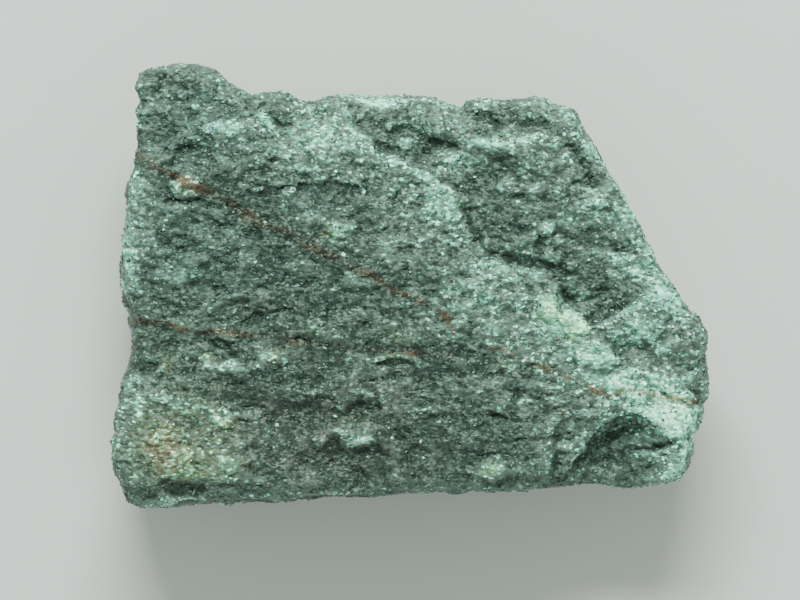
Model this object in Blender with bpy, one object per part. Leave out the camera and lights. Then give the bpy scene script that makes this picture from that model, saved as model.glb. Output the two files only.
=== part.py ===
"""Raw green aventurine: a hand specimen of fuchsite quartzite, trimmed by hammer.

The stone lies on its broad back with its best face up, +Y towards its long broken top edge.
A block is sawn into a lattice, and each lattice point is carried to its place on the stone:
first onto the plan outline and the relief of the face, sides and back, then in or out by the
flat facets that a blow leaves in quartzite. Lengths are in millimetres until the last step.
"""
import bmesh
import bpy
import numpy as np

MM = 0.001
COLLECTION_NAME = "raw aventurine"
STONE_NAME = "aventurine"

# Driving dimensions: length and width over all, the level of the face, and the strips that
# the block is sawn into along x, y and z
STONE_LENGTH = 102.0
STONE_WIDTH = 76.3
FACE_LEVEL = 27.8
LATTICE = (44, 36, 12)

# How far a lattice point strays from its even place, as a share of a strip, and the hash
# channel it draws from. Two cuts closer than the tolerance count as one.
LATTICE_UNEVENNESS = 0.24
LATTICE_CHANNEL = 71
CUT_TOLERANCE = 1e-5

# Edges of the stone seen from above. Each point is x, y, and how far the rim of the face
# stands in from the widest line there. Top and bottom run left to right, the sides upwards.
TOP_EDGE = (
    (-45.9, 36.9, 0.6), (-44.9, 37.8, 0.9), (-42.0, 38.1, 1.2), (-40.0, 38.3, 1.4),
    (-38.0, 37.7, 1.0), (-34.0, 36.7, 0.8), (-32.2, 35.4, 0.8), (-29.8, 34.3, 0.8),
    (-28.0, 33.1, 0.8), (-26.4, 32.9, 0.9), (-24.8, 33.3, 0.8), (-21.5, 33.2, 0.7),
    (-20.0, 32.8, 0.8), (-18.5, 31.9, 0.8), (-16.2, 31.9, 0.8), (-14.8, 32.8, 1.0),
    (-12.5, 33.3, 1.0), (-10.5, 33.5, 1.5), (-4.7, 33.3, 2.4), (-0.5, 33.5, 1.8),
    (2.5, 33.2, 1.6), (4.5, 32.8, 1.5), (5.4, 31.8, 1.0), (7.3, 31.3, 0.8),
    (8.6, 30.5, 0.6), (9.4, 30.4, 0.6), (10.6, 31.8, 0.9), (12.0, 32.5, 1.1),
    (16.5, 32.0, 1.2), (22.0, 32.5, 1.2), (23.4, 32.2, 1.2), (24.3, 31.4, 0.9),
    (27.0, 31.0, 0.9), (28.4, 29.9, 1.2),
)
BOTTOM_EDGE = (
    (-47.9, -37.3, 1.6), (-46.5, -37.7, 1.4), (-43.0, -38.0, 1.4), (-37.0, -37.8, 1.6),
    (-29.0, -37.4, 1.4), (-24.0, -37.1, 1.0), (-20.0, -37.0, 0.9), (-18.0, -36.5, 0.8),
    (-13.0, -36.2, 0.9), (-6.0, -36.3, 1.0), (0.0, -36.0, 1.0), (8.0, -35.8, 0.9),
    (15.0, -35.3, 0.8), (22.0, -35.4, 0.8), (28.0, -34.9, 0.9), (32.0, -34.5, 1.0),
    (36.0, -34.9, 0.8), (41.0, -34.7, 0.8), (44.0, -34.3, 1.2), (46.4, -34.0, 2.0),
)
LEFT_EDGE = (
    (-47.9, -37.3, 1.6), (-49.4, -33.8, 2.6), (-50.6, -31.5, 2.4), (-51.0, -30.0, 1.0),
    (-50.6, -28.0, 0.9), (-49.9, -25.0, 0.9), (-49.6, -22.0, 0.9), (-48.5, -16.0, 1.4),
    (-47.9, -12.5, 1.3), (-47.5, -10.0, 0.9), (-47.9, -6.0, 0.5), (-47.8, -3.2, 1.0),
    (-48.6, -1.8, 1.8), (-49.4, -0.5, 2.0), (-49.8, 2.4, 2.2), (-49.4, 5.5, 1.8),
    (-48.7, 8.0, 1.2), (-48.2, 9.2, 1.0), (-48.0, 14.5, 1.6), (-48.3, 16.3, 1.8),
    (-48.0, 18.0, 1.6), (-47.2, 19.8, 1.2), (-46.4, 21.4, 0.6), (-46.3, 23.0, 0.3),
    (-46.1, 26.2, 0.3), (-46.3, 30.0, 0.3), (-46.0, 34.5, 0.3), (-45.9, 36.9, 0.6),
)
RIGHT_EDGE = (
    (46.4, -34.0, 2.0), (47.2, -33.0, 2.2), (48.0, -31.0, 2.0), (48.5, -28.2, 1.8),
    (48.0, -26.4, 1.4), (49.4, -24.5, 1.2), (49.9, -21.8, 1.0), (49.5, -20.5, 0.9),
    (50.4, -19.0, 1.0), (50.7, -14.4, 1.0), (50.4, -10.6, 1.0), (51.0, -9.2, 1.2),
    (50.6, -8.0, 1.2), (49.7, -6.0, 1.0), (47.9, -4.7, 1.2), (45.4, -0.5, 1.4),
    (42.2, 4.7, 1.0), (40.4, 8.9, 0.9), (37.7, 13.4, 1.1), (34.7, 18.8, 1.6),
    (32.2, 24.2, 2.0), (29.4, 28.0, 1.4), (28.4, 29.9, 1.2),
)

# The widest line round the stone, as a share of the height, and how it wanders with x and y
WIDEST_LEVEL = 0.64
WIDEST_WAVE = 0.13
WIDEST_WAVE_REACH = (17.0, 12.0)

# How far the lower rim is cut in under the widest line: at the middle, and its change with
# x and y, so that the right and top sides lean in more
UNDERCUT = 3.4
UNDERCUT_PER_X = 0.025
UNDERCUT_PER_Y = 0.030

# How late the sides turn in on the way up to the rim of the face, and down to the lower rim
RIM_POWER = 1.5
UNDERCUT_POWER = 1.3

# The crest: left and below it the face stands proud and rolls over towards a groove, and
# beyond the groove lies a lower terrace. All of it dies out towards the right end.
CREST_LINE = (
    (-11.5, 36.0), (-9.6, 30.0), (-8.2, 27.5), (-5.4, 24.2), (0.0, 22.0), (5.0, 19.4),
    (7.6, 17.0), (9.2, 13.8), (10.3, 10.8), (12.0, 7.6), (14.6, 5.2), (19.5, 4.0),
    (23.0, 3.2), (25.6, 1.2), (26.4, -1.2), (28.4, -4.0), (31.0, -6.4), (33.0, -8.8),
    (34.8, -11.0), (36.9, -12.8), (41.0, -14.2), (54.0, -15.5),
)
CREST_ROLL = 1.3
CREST_ROLL_WIDTH = 6.0
GROOVE_DEPTH = 0.5
GROOVE_NEAR_WIDTH = 0.8
GROOVE_FAR_WIDTH = 1.0
TERRACE_DROP = 1.8
CREST_END = (31.0, 42.0)

# The scar of a chip knocked off the lower right corner, shallower towards the right end
SCAR_LINE = (
    (24.2, -38.0), (27.2, -31.6), (30.2, -27.2), (32.4, -24.4), (35.0, -22.0),
    (38.2, -21.2), (42.0, -22.4), (46.0, -25.0), (54.0, -27.0),
)
SCAR_DROP = 3.6
SCAR_WALL = 3.0
SCAR_END = (36.0, 47.0)
SCAR_END_SHARE = 0.25
SCAR_FLOOR_TOP = -24.4
SCAR_FLOOR_FALL = 0.14

# Broad lie of the face: its fall towards the bottom edge, and the steeper fall of its top
# and right margins beyond a line
FALL_TO_BOTTOM = 0.030
TOP_MARGIN_START = 20.0
TOP_MARGIN_FALL = 0.19
RIGHT_MARGIN_START = 38.0
RIGHT_MARGIN_FALL = 0.11
RIM_ROLL = 1.0
RIM_ROLL_WIDTH = 3.0

# Rises and hollows of the face: x, y, half length, half width, turn in degrees, height
RISES = (
    (-17.0, 22.5, 10.0, 4.0, 2.0, 0.9),
    (-12.5, 26.0, 4.2, 3.0, -35.0, 1.0),
    (-24.2, 28.0, 2.2, 1.0, -48.0, 0.7),
    (-33.0, 27.2, 3.4, 1.6, 12.0, 0.7),
    (5.4, 15.0, 2.8, 3.6, 22.0, 0.9),
    (7.2, 22.2, 2.6, 1.5, 25.0, 0.5),
    (-0.6, 20.0, 2.6, 1.6, -12.0, 0.6),
    (13.0, 7.8, 1.3, 1.6, 10.0, 0.2),
    (18.4, 8.4, 3.0, 2.6, -18.0, 0.15),
    (21.4, 6.6, 1.7, 1.9, 30.0, 0.1),
    (24.1, 10.0, 1.5, 1.7, 0.0, 0.2),
    (20.0, 23.2, 8.5, 2.2, 6.0, 1.2),
    (26.4, 18.0, 3.0, 5.5, -28.0, 0.9),
    (31.6, 14.4, 2.6, 3.4, -30.0, 0.8),
    (12.6, 1.6, 4.4, 2.2, 20.0, 1.0),
    (23.6, -3.6, 2.6, 2.4, 0.0, 0.9),
    (27.6, -7.2, 3.0, 2.7, -40.0, 0.7),
    (31.4, -11.4, 4.0, 2.3, -38.0, 0.5),
    (37.0, -7.6, 5.0, 2.2, 15.0, 0.7),
    (43.0, -1.2, 3.6, 1.8, -35.0, 0.9),
    (46.0, -9.8, 2.8, 2.4, 0.0, 0.8),
    (41.0, -17.4, 6.0, 3.0, -4.0, 1.0),
    (-9.6, -25.2, 5.6, 2.3, 6.0, 1.2),
    (-30.6, -21.4, 3.2, 2.2, 8.0, 0.8),
    (-39.0, -28.6, 11.0, 6.4, 0.0, 1.8),
    (14.6, -31.4, 2.6, 1.8, -14.0, 0.7),
    (-34.0, 7.4, 2.2, 2.6, 0.0, 0.6),
    (-1.2, -7.6, 5.0, 2.4, 0.0, 0.5),
)
HOLLOWS = (
    (-4.0, 27.4, 5.0, 3.4, -14.0, -1.8),
    (3.8, 24.6, 4.8, 1.7, 24.0, -0.7),
    (11.2, 19.2, 4.0, 2.2, -24.0, -1.0),
    (13.4, 28.8, 4.0, 1.9, -4.0, -1.2),
    (21.4, 28.2, 3.4, 1.6, 4.0, -1.1),
    (30.4, 21.4, 5.4, 2.0, -60.0, -1.4),
    (13.0, 14.4, 5.0, 3.0, 14.0, -0.8),
    (27.4, -2.6, 1.8, 1.5, -50.0, -0.5),
    (32.8, -1.4, 4.4, 1.9, 4.0, -0.5),
    (38.0, -11.4, 3.0, 1.4, -30.0, -0.3),
    (-9.0, -29.0, 6.4, 2.2, 4.0, -1.2),
    (-22.0, -21.4, 9.0, 2.8, 0.0, -1.5),
    (-28.0, 8.0, 3.4, 1.2, 34.0, -1.0),
    (-12.8, 6.8, 3.0, 1.0, -20.0, -0.8),
    (16.0, -22.6, 4.6, 1.6, 0.0, -1.0),
    (36.4, -23.6, 3.6, 1.8, 12.0, -1.1),
    (-37.0, -35.6, 12.0, 2.0, 0.0, -1.2),
)

# Lumps with flat tops and steep sides, given as the rises are, and the power of the distance
# from the centre that makes them so
LUMPS = (
    (19.0, 6.8, 3.5, 2.7, -8.0, 0.5),
    (24.2, 5.9, 2.1, 2.2, 0.0, 0.6),
    (6.7, 21.9, 1.9, 1.4, 20.0, 0.6),
    (-0.7, 24.4, 2.3, 1.8, 20.0, 1.3),
    (28.2, -6.4, 3.1, 2.4, -15.0, 1.2),
    (23.6, -3.9, 2.2, 2.6, 10.0, 1.2),
    (30.8, -11.2, 5.0, 2.4, -22.0, 1.0),
    (-9.4, -24.8, 4.4, 2.0, 6.0, 1.0),
    (-31.8, -22.2, 2.0, 2.3, 0.0, 0.8),
    (-37.6, 17.1, 2.6, 2.2, 0.0, 0.6),
    (-23.4, -11.6, 2.6, 2.0, -10.0, 0.5),
)
LUMP_POWER = 2.4

# Steps broken across the face, higher on the left of each line as it runs: the height of the
# step, and the line. Then the width of a step's wall, and how far to its left it dies out.
STEPS = (
    (0.9, ((24.2, 26.2), (22.0, 26.4), (20.0, 26.0), (18.0, 25.2), (15.8, 24.6), (12.2, 25.2))),
    (0.9, ((38.8, -2.8), (36.2, -3.8), (34.6, -4.8), (33.0, -6.0), (31.2, -6.6))),
)
STEP_WALL = 0.7
STEP_REACH = 2.6

# Heavy blows that trimmed the sides and back: the way each flat scar faces, and its depth
BLOWS = (
    ((-0.86, 0.28, -0.42), 3.4),
    ((-0.76, -0.16, -0.62), 5.0),
    ((-0.64, -0.60, -0.48), 3.8),
    ((-0.20, -0.86, -0.46), 3.0),
    ((0.26, -0.70, -0.66), 5.0),
    ((0.60, -0.62, -0.50), 4.2),
    ((0.90, -0.14, -0.42), 3.6),
    ((0.68, 0.26, -0.68), 5.5),
    ((0.68, 0.60, -0.42), 4.6),
    ((0.14, 0.86, -0.50), 4.0),
    ((-0.26, 0.72, -0.64), 6.0),
    ((-0.60, 0.66, -0.45), 3.8),
)
BLOW_FADE = 0.30

# Facets of the broken surface: cell size, step between neighbours, slope, and hash channel
FACET_SIZES = (
    (15.0, 0.75, 0.085, 11),
    (6.5, 0.36, 0.110, 23),
    (3.4, 0.13, 0.110, 37),
)
FOLIATION_STRETCH = 1.45
BORDER_SHARPNESS = 18.0
NEIGHBOURHOOD = (3, 3, 3)

# Fixed whole numbers that the hash multiplies a cell and a channel by, its rounds of shifting
# and multiplying, and the count of numbers it can give
CELL_FACTORS = (73856093, 19349663, 83492791)
CHANNEL_FACTOR = 668265263
MIXING_ROUNDS = ((15, 224682251), (13, 326648991), (16, 668265263))
LAST_SHIFT = 15
HASH_COUNT = 4294967296

# The facets are weaker along the widest line, so that the outline keeps its own corners, and
# stronger on the trimmed lower sides: change of strength, level, and band of levels
FACET_STRENGTH = (
    (-0.75, 0.66, 0.22),
    (0.70, 0.24, 0.20),
)

# The back: how far its rim lifts off the ground, how far its middle would bulge below the
# resting level before that was knocked flat, and how late the lift begins
BACK_RIM_LIFT = 3.0
BACK_BULGE = 1.5
BACK_POWER = 2.6

STONE_COLOUR = (0.115, 0.165, 0.130, 1.0)
STONE_ROUGHNESS = 0.62


def smooth_rise(value):
    """Ease from 0 to 1 as the value goes from 0 to 1."""
    value = np.clip(value, 0.0, 1.0)
    return value * value * (3.0 - 2.0 * value)


def cell_random(ix, iy, iz, channel):
    """A fixed random number from 0 to 1 for each whole-numbered cell and channel."""
    mixed = np.int64(channel * CHANNEL_FACTOR)
    for steps, factor in zip((ix, iy, iz), CELL_FACTORS):
        mixed = mixed ^ steps.astype(np.int64) * factor
    mixed = mixed % HASH_COUNT
    for shift, factor in MIXING_ROUNDS:
        mixed = ((mixed ^ (mixed >> shift)) * factor) % HASH_COUNT
    return (mixed ^ (mixed >> LAST_SHIFT)) / HASH_COUNT


def facet_relief(points, cell, step, slope, channel):
    """Flat facets: each cell of rock has its own level and slope, met in short steps.

    A point takes the level of its nearest cell seed plus the slope times the way to it, and
    close to a border the neighbouring cells fade in. A cell draws three numbers for its
    seed's place, three for its slope and one for its level.
    """
    scaled = points / (cell * np.array((FOLIATION_STRETCH, 1.0, 1.0)))
    home = np.floor(scaled)
    distances = []
    levels = []
    for offset in np.ndindex(NEIGHBOURHOOD):
        seed_cell = home + np.array(offset) - 1.0
        draws = np.stack([cell_random(*seed_cell.T, channel + k) for k in range(7)], axis=1)
        away = scaled - seed_cell - draws[:, 0:3]
        tilt = 2.0 * draws[:, 3:6] - 1.0
        distances.append(np.linalg.norm(away, axis=1))
        levels.append(step * (2.0 * draws[:, 6] - 1.0) + slope * cell * (away * tilt).sum(axis=1))
    distances = np.array(distances)
    weights = np.exp(-BORDER_SHARPNESS * (distances - distances.min(axis=0)))
    return (weights * np.array(levels)).sum(axis=0) / weights.sum(axis=0)


def widest_level(x, y):
    """Level of the widest line: a wave along x and y about its mean."""
    reach_x, reach_y = WIDEST_WAVE_REACH
    return WIDEST_LEVEL + WIDEST_WAVE * np.sin(x / reach_x + y / reach_y)


def edge_at_level(edge, share, level):
    """Plan of an edge at a share of its length and a level of the height.

    Level 1 is the rim of the face and 0 the lower rim. The edge stands in from the widest
    line by the rim inset above it and by the undercut below it, each with a power of the way.
    """
    table = np.array(edge)
    steps = np.linalg.norm(np.diff(table[:, 0:2], axis=0), axis=1)
    passed = np.append(0.0, np.cumsum(steps)) / steps.sum()
    x, y, rim = (np.interp(share, passed, column) for column in table.T)
    widest = widest_level(x, y)
    above = np.clip((level - widest) / (1.0 - widest), 0.0, 1.0)
    below = np.clip((widest - level) / widest, 0.0, 1.0)
    undercut = UNDERCUT + UNDERCUT_PER_X * x + UNDERCUT_PER_Y * y
    inset = rim * above ** RIM_POWER + undercut * below ** UNDERCUT_POWER
    return np.stack((x, y), axis=1) * (1.0 - inset / np.hypot(x, y))[:, None]


def plan_position(u, v, level):
    """Plan of lattice points: each pair of facing edges is blended, less the corner blend."""
    start = np.zeros_like(u)
    end = np.ones_like(u)
    u_column = u[:, None]
    v_column = v[:, None]
    up = (1.0 - v_column) * edge_at_level(BOTTOM_EDGE, u, level)
    up += v_column * edge_at_level(TOP_EDGE, u, level)
    across = (1.0 - u_column) * edge_at_level(LEFT_EDGE, v, level)
    across += u_column * edge_at_level(RIGHT_EDGE, v, level)
    low = (1.0 - u_column) * edge_at_level(BOTTOM_EDGE, start, level)
    low += u_column * edge_at_level(BOTTOM_EDGE, end, level)
    high = (1.0 - u_column) * edge_at_level(TOP_EDGE, start, level)
    high += u_column * edge_at_level(TOP_EDGE, end, level)
    return up + across - (1.0 - v_column) * low - v_column * high


def distance_from_line(x, y, line):
    """Distance from a broken line, counted positive on its left as the line runs."""
    nearest = np.full(x.shape, np.inf)
    signed = np.zeros(x.shape)
    for (ax, ay), (bx, by) in zip(line[:-1], line[1:]):
        run_x, run_y = bx - ax, by - ay
        share = ((x - ax) * run_x + (y - ay) * run_y) / (run_x ** 2 + run_y ** 2)
        share = np.clip(share, 0.0, 1.0)
        away_x, away_y = x - ax - share * run_x, y - ay - share * run_y
        away = np.hypot(away_x, away_y)
        side = np.where(run_x * away_y - run_y * away_x >= 0.0, 1.0, -1.0)
        signed = np.where(away < nearest, side * away, signed)
        nearest = np.minimum(nearest, away)
    return signed


def mound(x, y, centre_x, centre_y, half_length, half_width, turn, height, power=1.0):
    """A turned oval rise: its height times the bell curve of the distance from its centre.

    The squared distance is raised to a power: 1 is rounded, more is flat on top and steep.
    """
    angle = np.radians(turn)
    dx, dy = x - centre_x, y - centre_y
    along = (dx * np.cos(angle) + dy * np.sin(angle)) / half_length
    across = (dy * np.cos(angle) - dx * np.sin(angle)) / half_width
    return height * np.exp(-(along ** 2 + across ** 2) ** power)


def crest_relief(x, y):
    """The roll of the face towards the crest line, the groove there and the terrace beyond."""
    beyond = distance_from_line(x, y, CREST_LINE)
    near = CREST_ROLL * np.exp(-(beyond / CREST_ROLL_WIDTH) ** 2)
    near += GROOVE_DEPTH * np.exp(-(beyond / GROOVE_NEAR_WIDTH) ** 2)
    bottom = CREST_ROLL + GROOVE_DEPTH
    far = TERRACE_DROP + (bottom - TERRACE_DROP) * np.exp(-(beyond / GROOVE_FAR_WIDTH) ** 2)
    start, end = CREST_END
    fading = 1.0 - smooth_rise((x - start) / (end - start))
    return -fading * np.where(beyond > 0.0, far, near)


def scar_relief(x, y):
    """The wall and floor of the chip scar, right of and below its line."""
    inside = smooth_rise(-distance_from_line(x, y, SCAR_LINE) / SCAR_WALL)
    start, end = SCAR_END
    fading = 1.0 - (1.0 - SCAR_END_SHARE) * smooth_rise((x - start) / (end - start))
    floor_fall = SCAR_FLOOR_FALL * np.maximum(SCAR_FLOOR_TOP - y, 0.0)
    return -(SCAR_DROP + floor_fall) * fading * inside


def small_relief(x, y):
    """Rises, hollows, lumps, and steps that die out to their left."""
    height = sum(mound(x, y, *shape) for shape in RISES + HOLLOWS)
    height = height + sum(mound(x, y, *shape, LUMP_POWER) for shape in LUMPS)
    for step, line in STEPS:
        beyond = distance_from_line(x, y, line)
        wall = smooth_rise(beyond / STEP_WALL + 0.5)
        height += step * wall * np.exp(-(np.maximum(beyond, 0.0) / STEP_REACH) ** 2)
    return height


def face_height(x, y, rim_distance):
    """Height of the face: its lie and margins, crest, scar, small relief and rolled rim."""
    height = FACE_LEVEL + FALL_TO_BOTTOM * y
    height -= TOP_MARGIN_FALL * np.maximum(y - TOP_MARGIN_START, 0.0)
    height -= RIGHT_MARGIN_FALL * np.maximum(x - RIGHT_MARGIN_START, 0.0)
    height += crest_relief(x, y) + scar_relief(x, y) + small_relief(x, y)
    return height - RIM_ROLL * np.maximum(1.0 - rim_distance / RIM_ROLL_WIDTH, 0.0) ** 2


def back_height(u, v):
    """Height of the back: a low bulge that rises to the rim by a power of the way out."""
    out = 1.0 - (1.0 - (2.0 * u - 1.0) ** 2) * (1.0 - (2.0 * v - 1.0) ** 2)
    return (BACK_RIM_LIFT + BACK_BULGE) * out ** (0.5 * BACK_POWER) - BACK_BULGE


def stone_position(u, v, level):
    """Place of lattice points: the plan, and a height between the back and the face."""
    plan = plan_position(u, v, level)
    rim_plan = plan_position(u, v, np.ones_like(level))
    width = RIGHT_EDGE[0][0] - LEFT_EDGE[0][0]
    depth = LEFT_EDGE[-1][1] - LEFT_EDGE[0][1]
    rim_distance = np.minimum(width * np.minimum(u, 1.0 - u), depth * np.minimum(v, 1.0 - v))
    face = face_height(rim_plan[:, 0], rim_plan[:, 1], rim_distance)
    back = back_height(u, v)
    return np.column_stack((plan, back + (face - back) * level))


def strike_off(points, level):
    """Flat scars: what stands beyond a scar's plane is moved straight back onto it.

    The widest line and the face above it keep their place.
    """
    struck = smooth_rise((widest_level(points[:, 0], points[:, 1]) - level) / BLOW_FADE)
    for facing, depth in BLOWS:
        normal = np.array(facing) / np.linalg.norm(facing)
        reach = points @ normal
        beyond = struck * np.maximum(reach - (reach.max() - depth), 0.0)
        points = points - beyond[:, None] * normal
    return points


def sawn_block():
    """A cube from -1 to 1, cut by evenly spaced planes along each of its three axes."""
    block = bmesh.new()
    bmesh.ops.create_cube(block, size=2.0)
    for axis, strips in enumerate(LATTICE):
        normal = [0.0, 0.0, 0.0]
        normal[axis] = 1.0
        for cut in range(1, strips):
            point = [(2.0 * cut / strips - 1.0) * along for along in normal]
            everything = block.verts[:] + block.edges[:] + block.faces[:]
            bmesh.ops.bisect_plane(
                block, geom=everything, plane_co=point, plane_no=normal, dist=CUT_TOLERANCE
            )
    return block


def uneven(cube_points):
    """Lattice points shifted a little along the block, but never off its six sides."""
    strip_widths = 2.0 / np.array(LATTICE)
    cells = np.rint((cube_points + 1.0) / strip_widths)
    draws = [cell_random(*cells.T, LATTICE_CHANNEL + axis) for axis in range(3)]
    shifts = LATTICE_UNEVENNESS * (2.0 * np.stack(draws, axis=1) - 1.0)
    inside = (cells > 0) & (cells < LATTICE)
    return cube_points + shifts * inside * strip_widths


def read_vectors(collection, key, count):
    """A mesh's vertex places or directions as rows of an array."""
    values = np.empty(count * 3)
    collection.foreach_get(key, values)
    return values.reshape(count, 3)


def write_places(mesh, points):
    """Move a mesh's vertices to the rows of an array."""
    mesh.vertices.foreach_set("co", points.ravel())
    mesh.update()


def broken(points, outward, level):
    """The facets of every size, each moved along the surface's outward direction."""
    strength = np.ones_like(level)
    for change, middle, band in FACET_STRENGTH:
        strength += change * np.exp(-((level - middle) / band) ** 2)
    for cell, step, slope, channel in FACET_SIZES:
        relief = strength * facet_relief(points, cell, step, slope, channel)
        points = points + outward * relief[:, None]
    return points


def seated(points):
    """The back knocked flat at the ground, and the plan brought to size about the origin."""
    points[:, 2] = np.maximum(points[:, 2], 0.0)
    low, high = points[:, 0:2].min(axis=0), points[:, 0:2].max(axis=0)
    points[:, 0:2] -= 0.5 * (low + high)
    points[:, 0:2] *= np.array((STONE_LENGTH, STONE_WIDTH)) / (high - low)
    return points


def stone_mesh():
    """The stone: the sawn block carried to shape, struck, broken into facets and seated.

    Facets move along the directions outward before the blows, which have no sharp turns.
    """
    mesh = bpy.data.meshes.new(STONE_NAME)
    block = sawn_block()
    block.to_mesh(mesh)
    count = len(mesh.vertices)
    shares = (uneven(read_vectors(mesh.vertices, "co", count)) + 1.0) * 0.5
    points = stone_position(*shares.T)
    write_places(mesh, points)
    outward = read_vectors(mesh.vertex_normals, "vector", count)
    points = broken(strike_off(points, shares[:, 2]), outward, shares[:, 2])
    write_places(mesh, seated(points) * MM)
    block.clear()
    block.from_mesh(mesh)
    bmesh.ops.triangulate(block, faces=block.faces[:], quad_method="SHORT_EDGE")
    block.to_mesh(mesh)
    block.free()
    return mesh


def stone_material():
    """Green quartzite, dull on the broken face."""
    material = bpy.data.materials.new("green aventurine quartzite")
    material.use_nodes = True
    shader = material.node_tree.nodes["Principled BSDF"]
    shader.inputs["Base Color"].default_value = STONE_COLOUR
    shader.inputs["Roughness"].default_value = STONE_ROUGHNESS
    shader.inputs["Metallic"].default_value = 0.0
    material.diffuse_color = STONE_COLOUR
    return material


def main():
    """Clear the scene and put the stone into its collection."""
    for old_object in list(bpy.data.objects):
        bpy.data.objects.remove(old_object, do_unlink=True)
    collection = bpy.data.collections.new(COLLECTION_NAME)
    bpy.context.scene.collection.children.link(collection)
    stone = bpy.data.objects.new(STONE_NAME, stone_mesh())
    stone.data.materials.append(stone_material())
    collection.objects.link(stone)


main()
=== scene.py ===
"""Looks of a raw green aventurine: a hand specimen of fuchsite quartzite, broken by hammer.

The stone is one closed surface, worked out over a lattice of two directions and a level: the
face above, a band of sides, and the back. Sugary quartz grains and flakes of green mica stand
a little proud of it. Lengths in the tables are in millimetres, x to the right of the pictured
face, y to its top edge and z up out of it.
"""

import functools

import bpy
import numpy as np
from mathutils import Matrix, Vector


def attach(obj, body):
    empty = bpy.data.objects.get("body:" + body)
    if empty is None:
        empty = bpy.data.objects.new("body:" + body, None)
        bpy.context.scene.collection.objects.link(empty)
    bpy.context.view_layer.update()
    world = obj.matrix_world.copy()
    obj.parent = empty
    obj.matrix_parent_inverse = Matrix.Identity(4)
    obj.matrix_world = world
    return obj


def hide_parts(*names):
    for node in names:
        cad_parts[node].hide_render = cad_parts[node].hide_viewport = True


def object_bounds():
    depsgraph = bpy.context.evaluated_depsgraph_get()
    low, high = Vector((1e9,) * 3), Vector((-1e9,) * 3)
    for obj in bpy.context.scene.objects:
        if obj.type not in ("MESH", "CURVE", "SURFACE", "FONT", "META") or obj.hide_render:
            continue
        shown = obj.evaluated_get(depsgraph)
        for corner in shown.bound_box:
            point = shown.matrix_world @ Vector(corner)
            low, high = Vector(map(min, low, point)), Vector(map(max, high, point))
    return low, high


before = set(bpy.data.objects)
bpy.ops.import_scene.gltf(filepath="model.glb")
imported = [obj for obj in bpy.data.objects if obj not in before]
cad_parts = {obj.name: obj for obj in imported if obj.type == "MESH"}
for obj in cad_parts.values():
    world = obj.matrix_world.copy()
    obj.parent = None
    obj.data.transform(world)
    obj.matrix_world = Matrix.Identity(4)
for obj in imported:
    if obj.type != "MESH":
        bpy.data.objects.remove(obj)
CAD_BOX = [list(corner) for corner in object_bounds()]

bl_info = {
    "name": "Raw Aventurine",
    "version": (1, 0, 0),
    "blender": (4, 5, 0),
    "location": "View3D > Sidebar > Aventurine",
    "description": "Builds a broken slab of green aventurine with its grains, mica and studio",
    "category": "Add Mesh",
}

MM = 0.001
BODY = "root"
NODE = "aventurine"
MAP_NAME = "OFBake"

# Cells of the surface along x, y and up the sides. The back's cells are wider by a whole
# number, and its grid stands in from the lower rim by a share of the stone. Then how far a
# point strays from its even place, as a share of a cell, and the hash channel it draws from.
FACE_CELLS = (243, 195)
SIDE_ROWS = 46
BACK_STEP = 3
BACK_INSET = 0.008
LATTICE_UNEVENNESS = 0.30
LATTICE_CHANNEL = 71

# Level of the face, and edges of the stone seen from above. Each point is x, y, and how far
# the rim of the face stands in from the widest line there. Top and bottom run left to right,
# the sides upwards.
FACE_LEVEL = 27.8
TOP_EDGE = (
    (-45.9, 36.9, 0.6), (-44.9, 37.8, 0.9), (-42.0, 38.1, 1.2), (-40.0, 38.3, 1.4),
    (-38.0, 37.7, 1.0), (-34.0, 36.7, 0.8), (-32.2, 35.4, 0.8), (-29.8, 34.3, 0.8),
    (-28.0, 33.1, 0.8), (-26.4, 32.9, 0.9), (-24.8, 33.3, 0.8), (-21.5, 33.2, 0.7),
    (-20.0, 32.8, 0.8), (-18.5, 31.9, 0.8), (-16.2, 31.9, 0.8), (-14.8, 32.8, 1.0),
    (-12.5, 33.3, 1.0), (-10.5, 33.5, 1.5), (-4.7, 33.3, 2.4), (-0.5, 33.5, 1.8),
    (2.5, 33.2, 1.6), (4.5, 32.8, 1.5), (5.4, 31.8, 1.0), (7.3, 31.3, 0.8),
    (8.6, 30.5, 0.6), (9.4, 30.4, 0.6), (10.6, 31.8, 0.9), (12.0, 32.5, 1.1),
    (16.5, 32.0, 1.2), (22.0, 32.5, 1.2), (23.4, 32.2, 1.2), (24.3, 31.4, 0.9),
    (27.0, 31.0, 0.9), (28.4, 29.9, 1.2),
)
BOTTOM_EDGE = (
    (-47.9, -37.3, 1.6), (-46.5, -37.7, 1.4), (-43.0, -38.0, 1.4), (-37.0, -37.8, 1.6),
    (-29.0, -37.4, 1.4), (-24.0, -37.1, 1.0), (-20.0, -37.0, 0.9), (-18.0, -36.5, 0.8),
    (-13.0, -36.2, 0.9), (-6.0, -36.3, 1.0), (0.0, -36.0, 1.0), (8.0, -35.8, 0.9),
    (15.0, -35.3, 0.8), (22.0, -35.4, 0.8), (28.0, -34.9, 0.9), (32.0, -34.5, 1.0),
    (36.0, -34.9, 0.8), (41.0, -34.7, 0.8), (44.0, -34.3, 1.2), (46.4, -34.0, 2.0),
)
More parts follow.
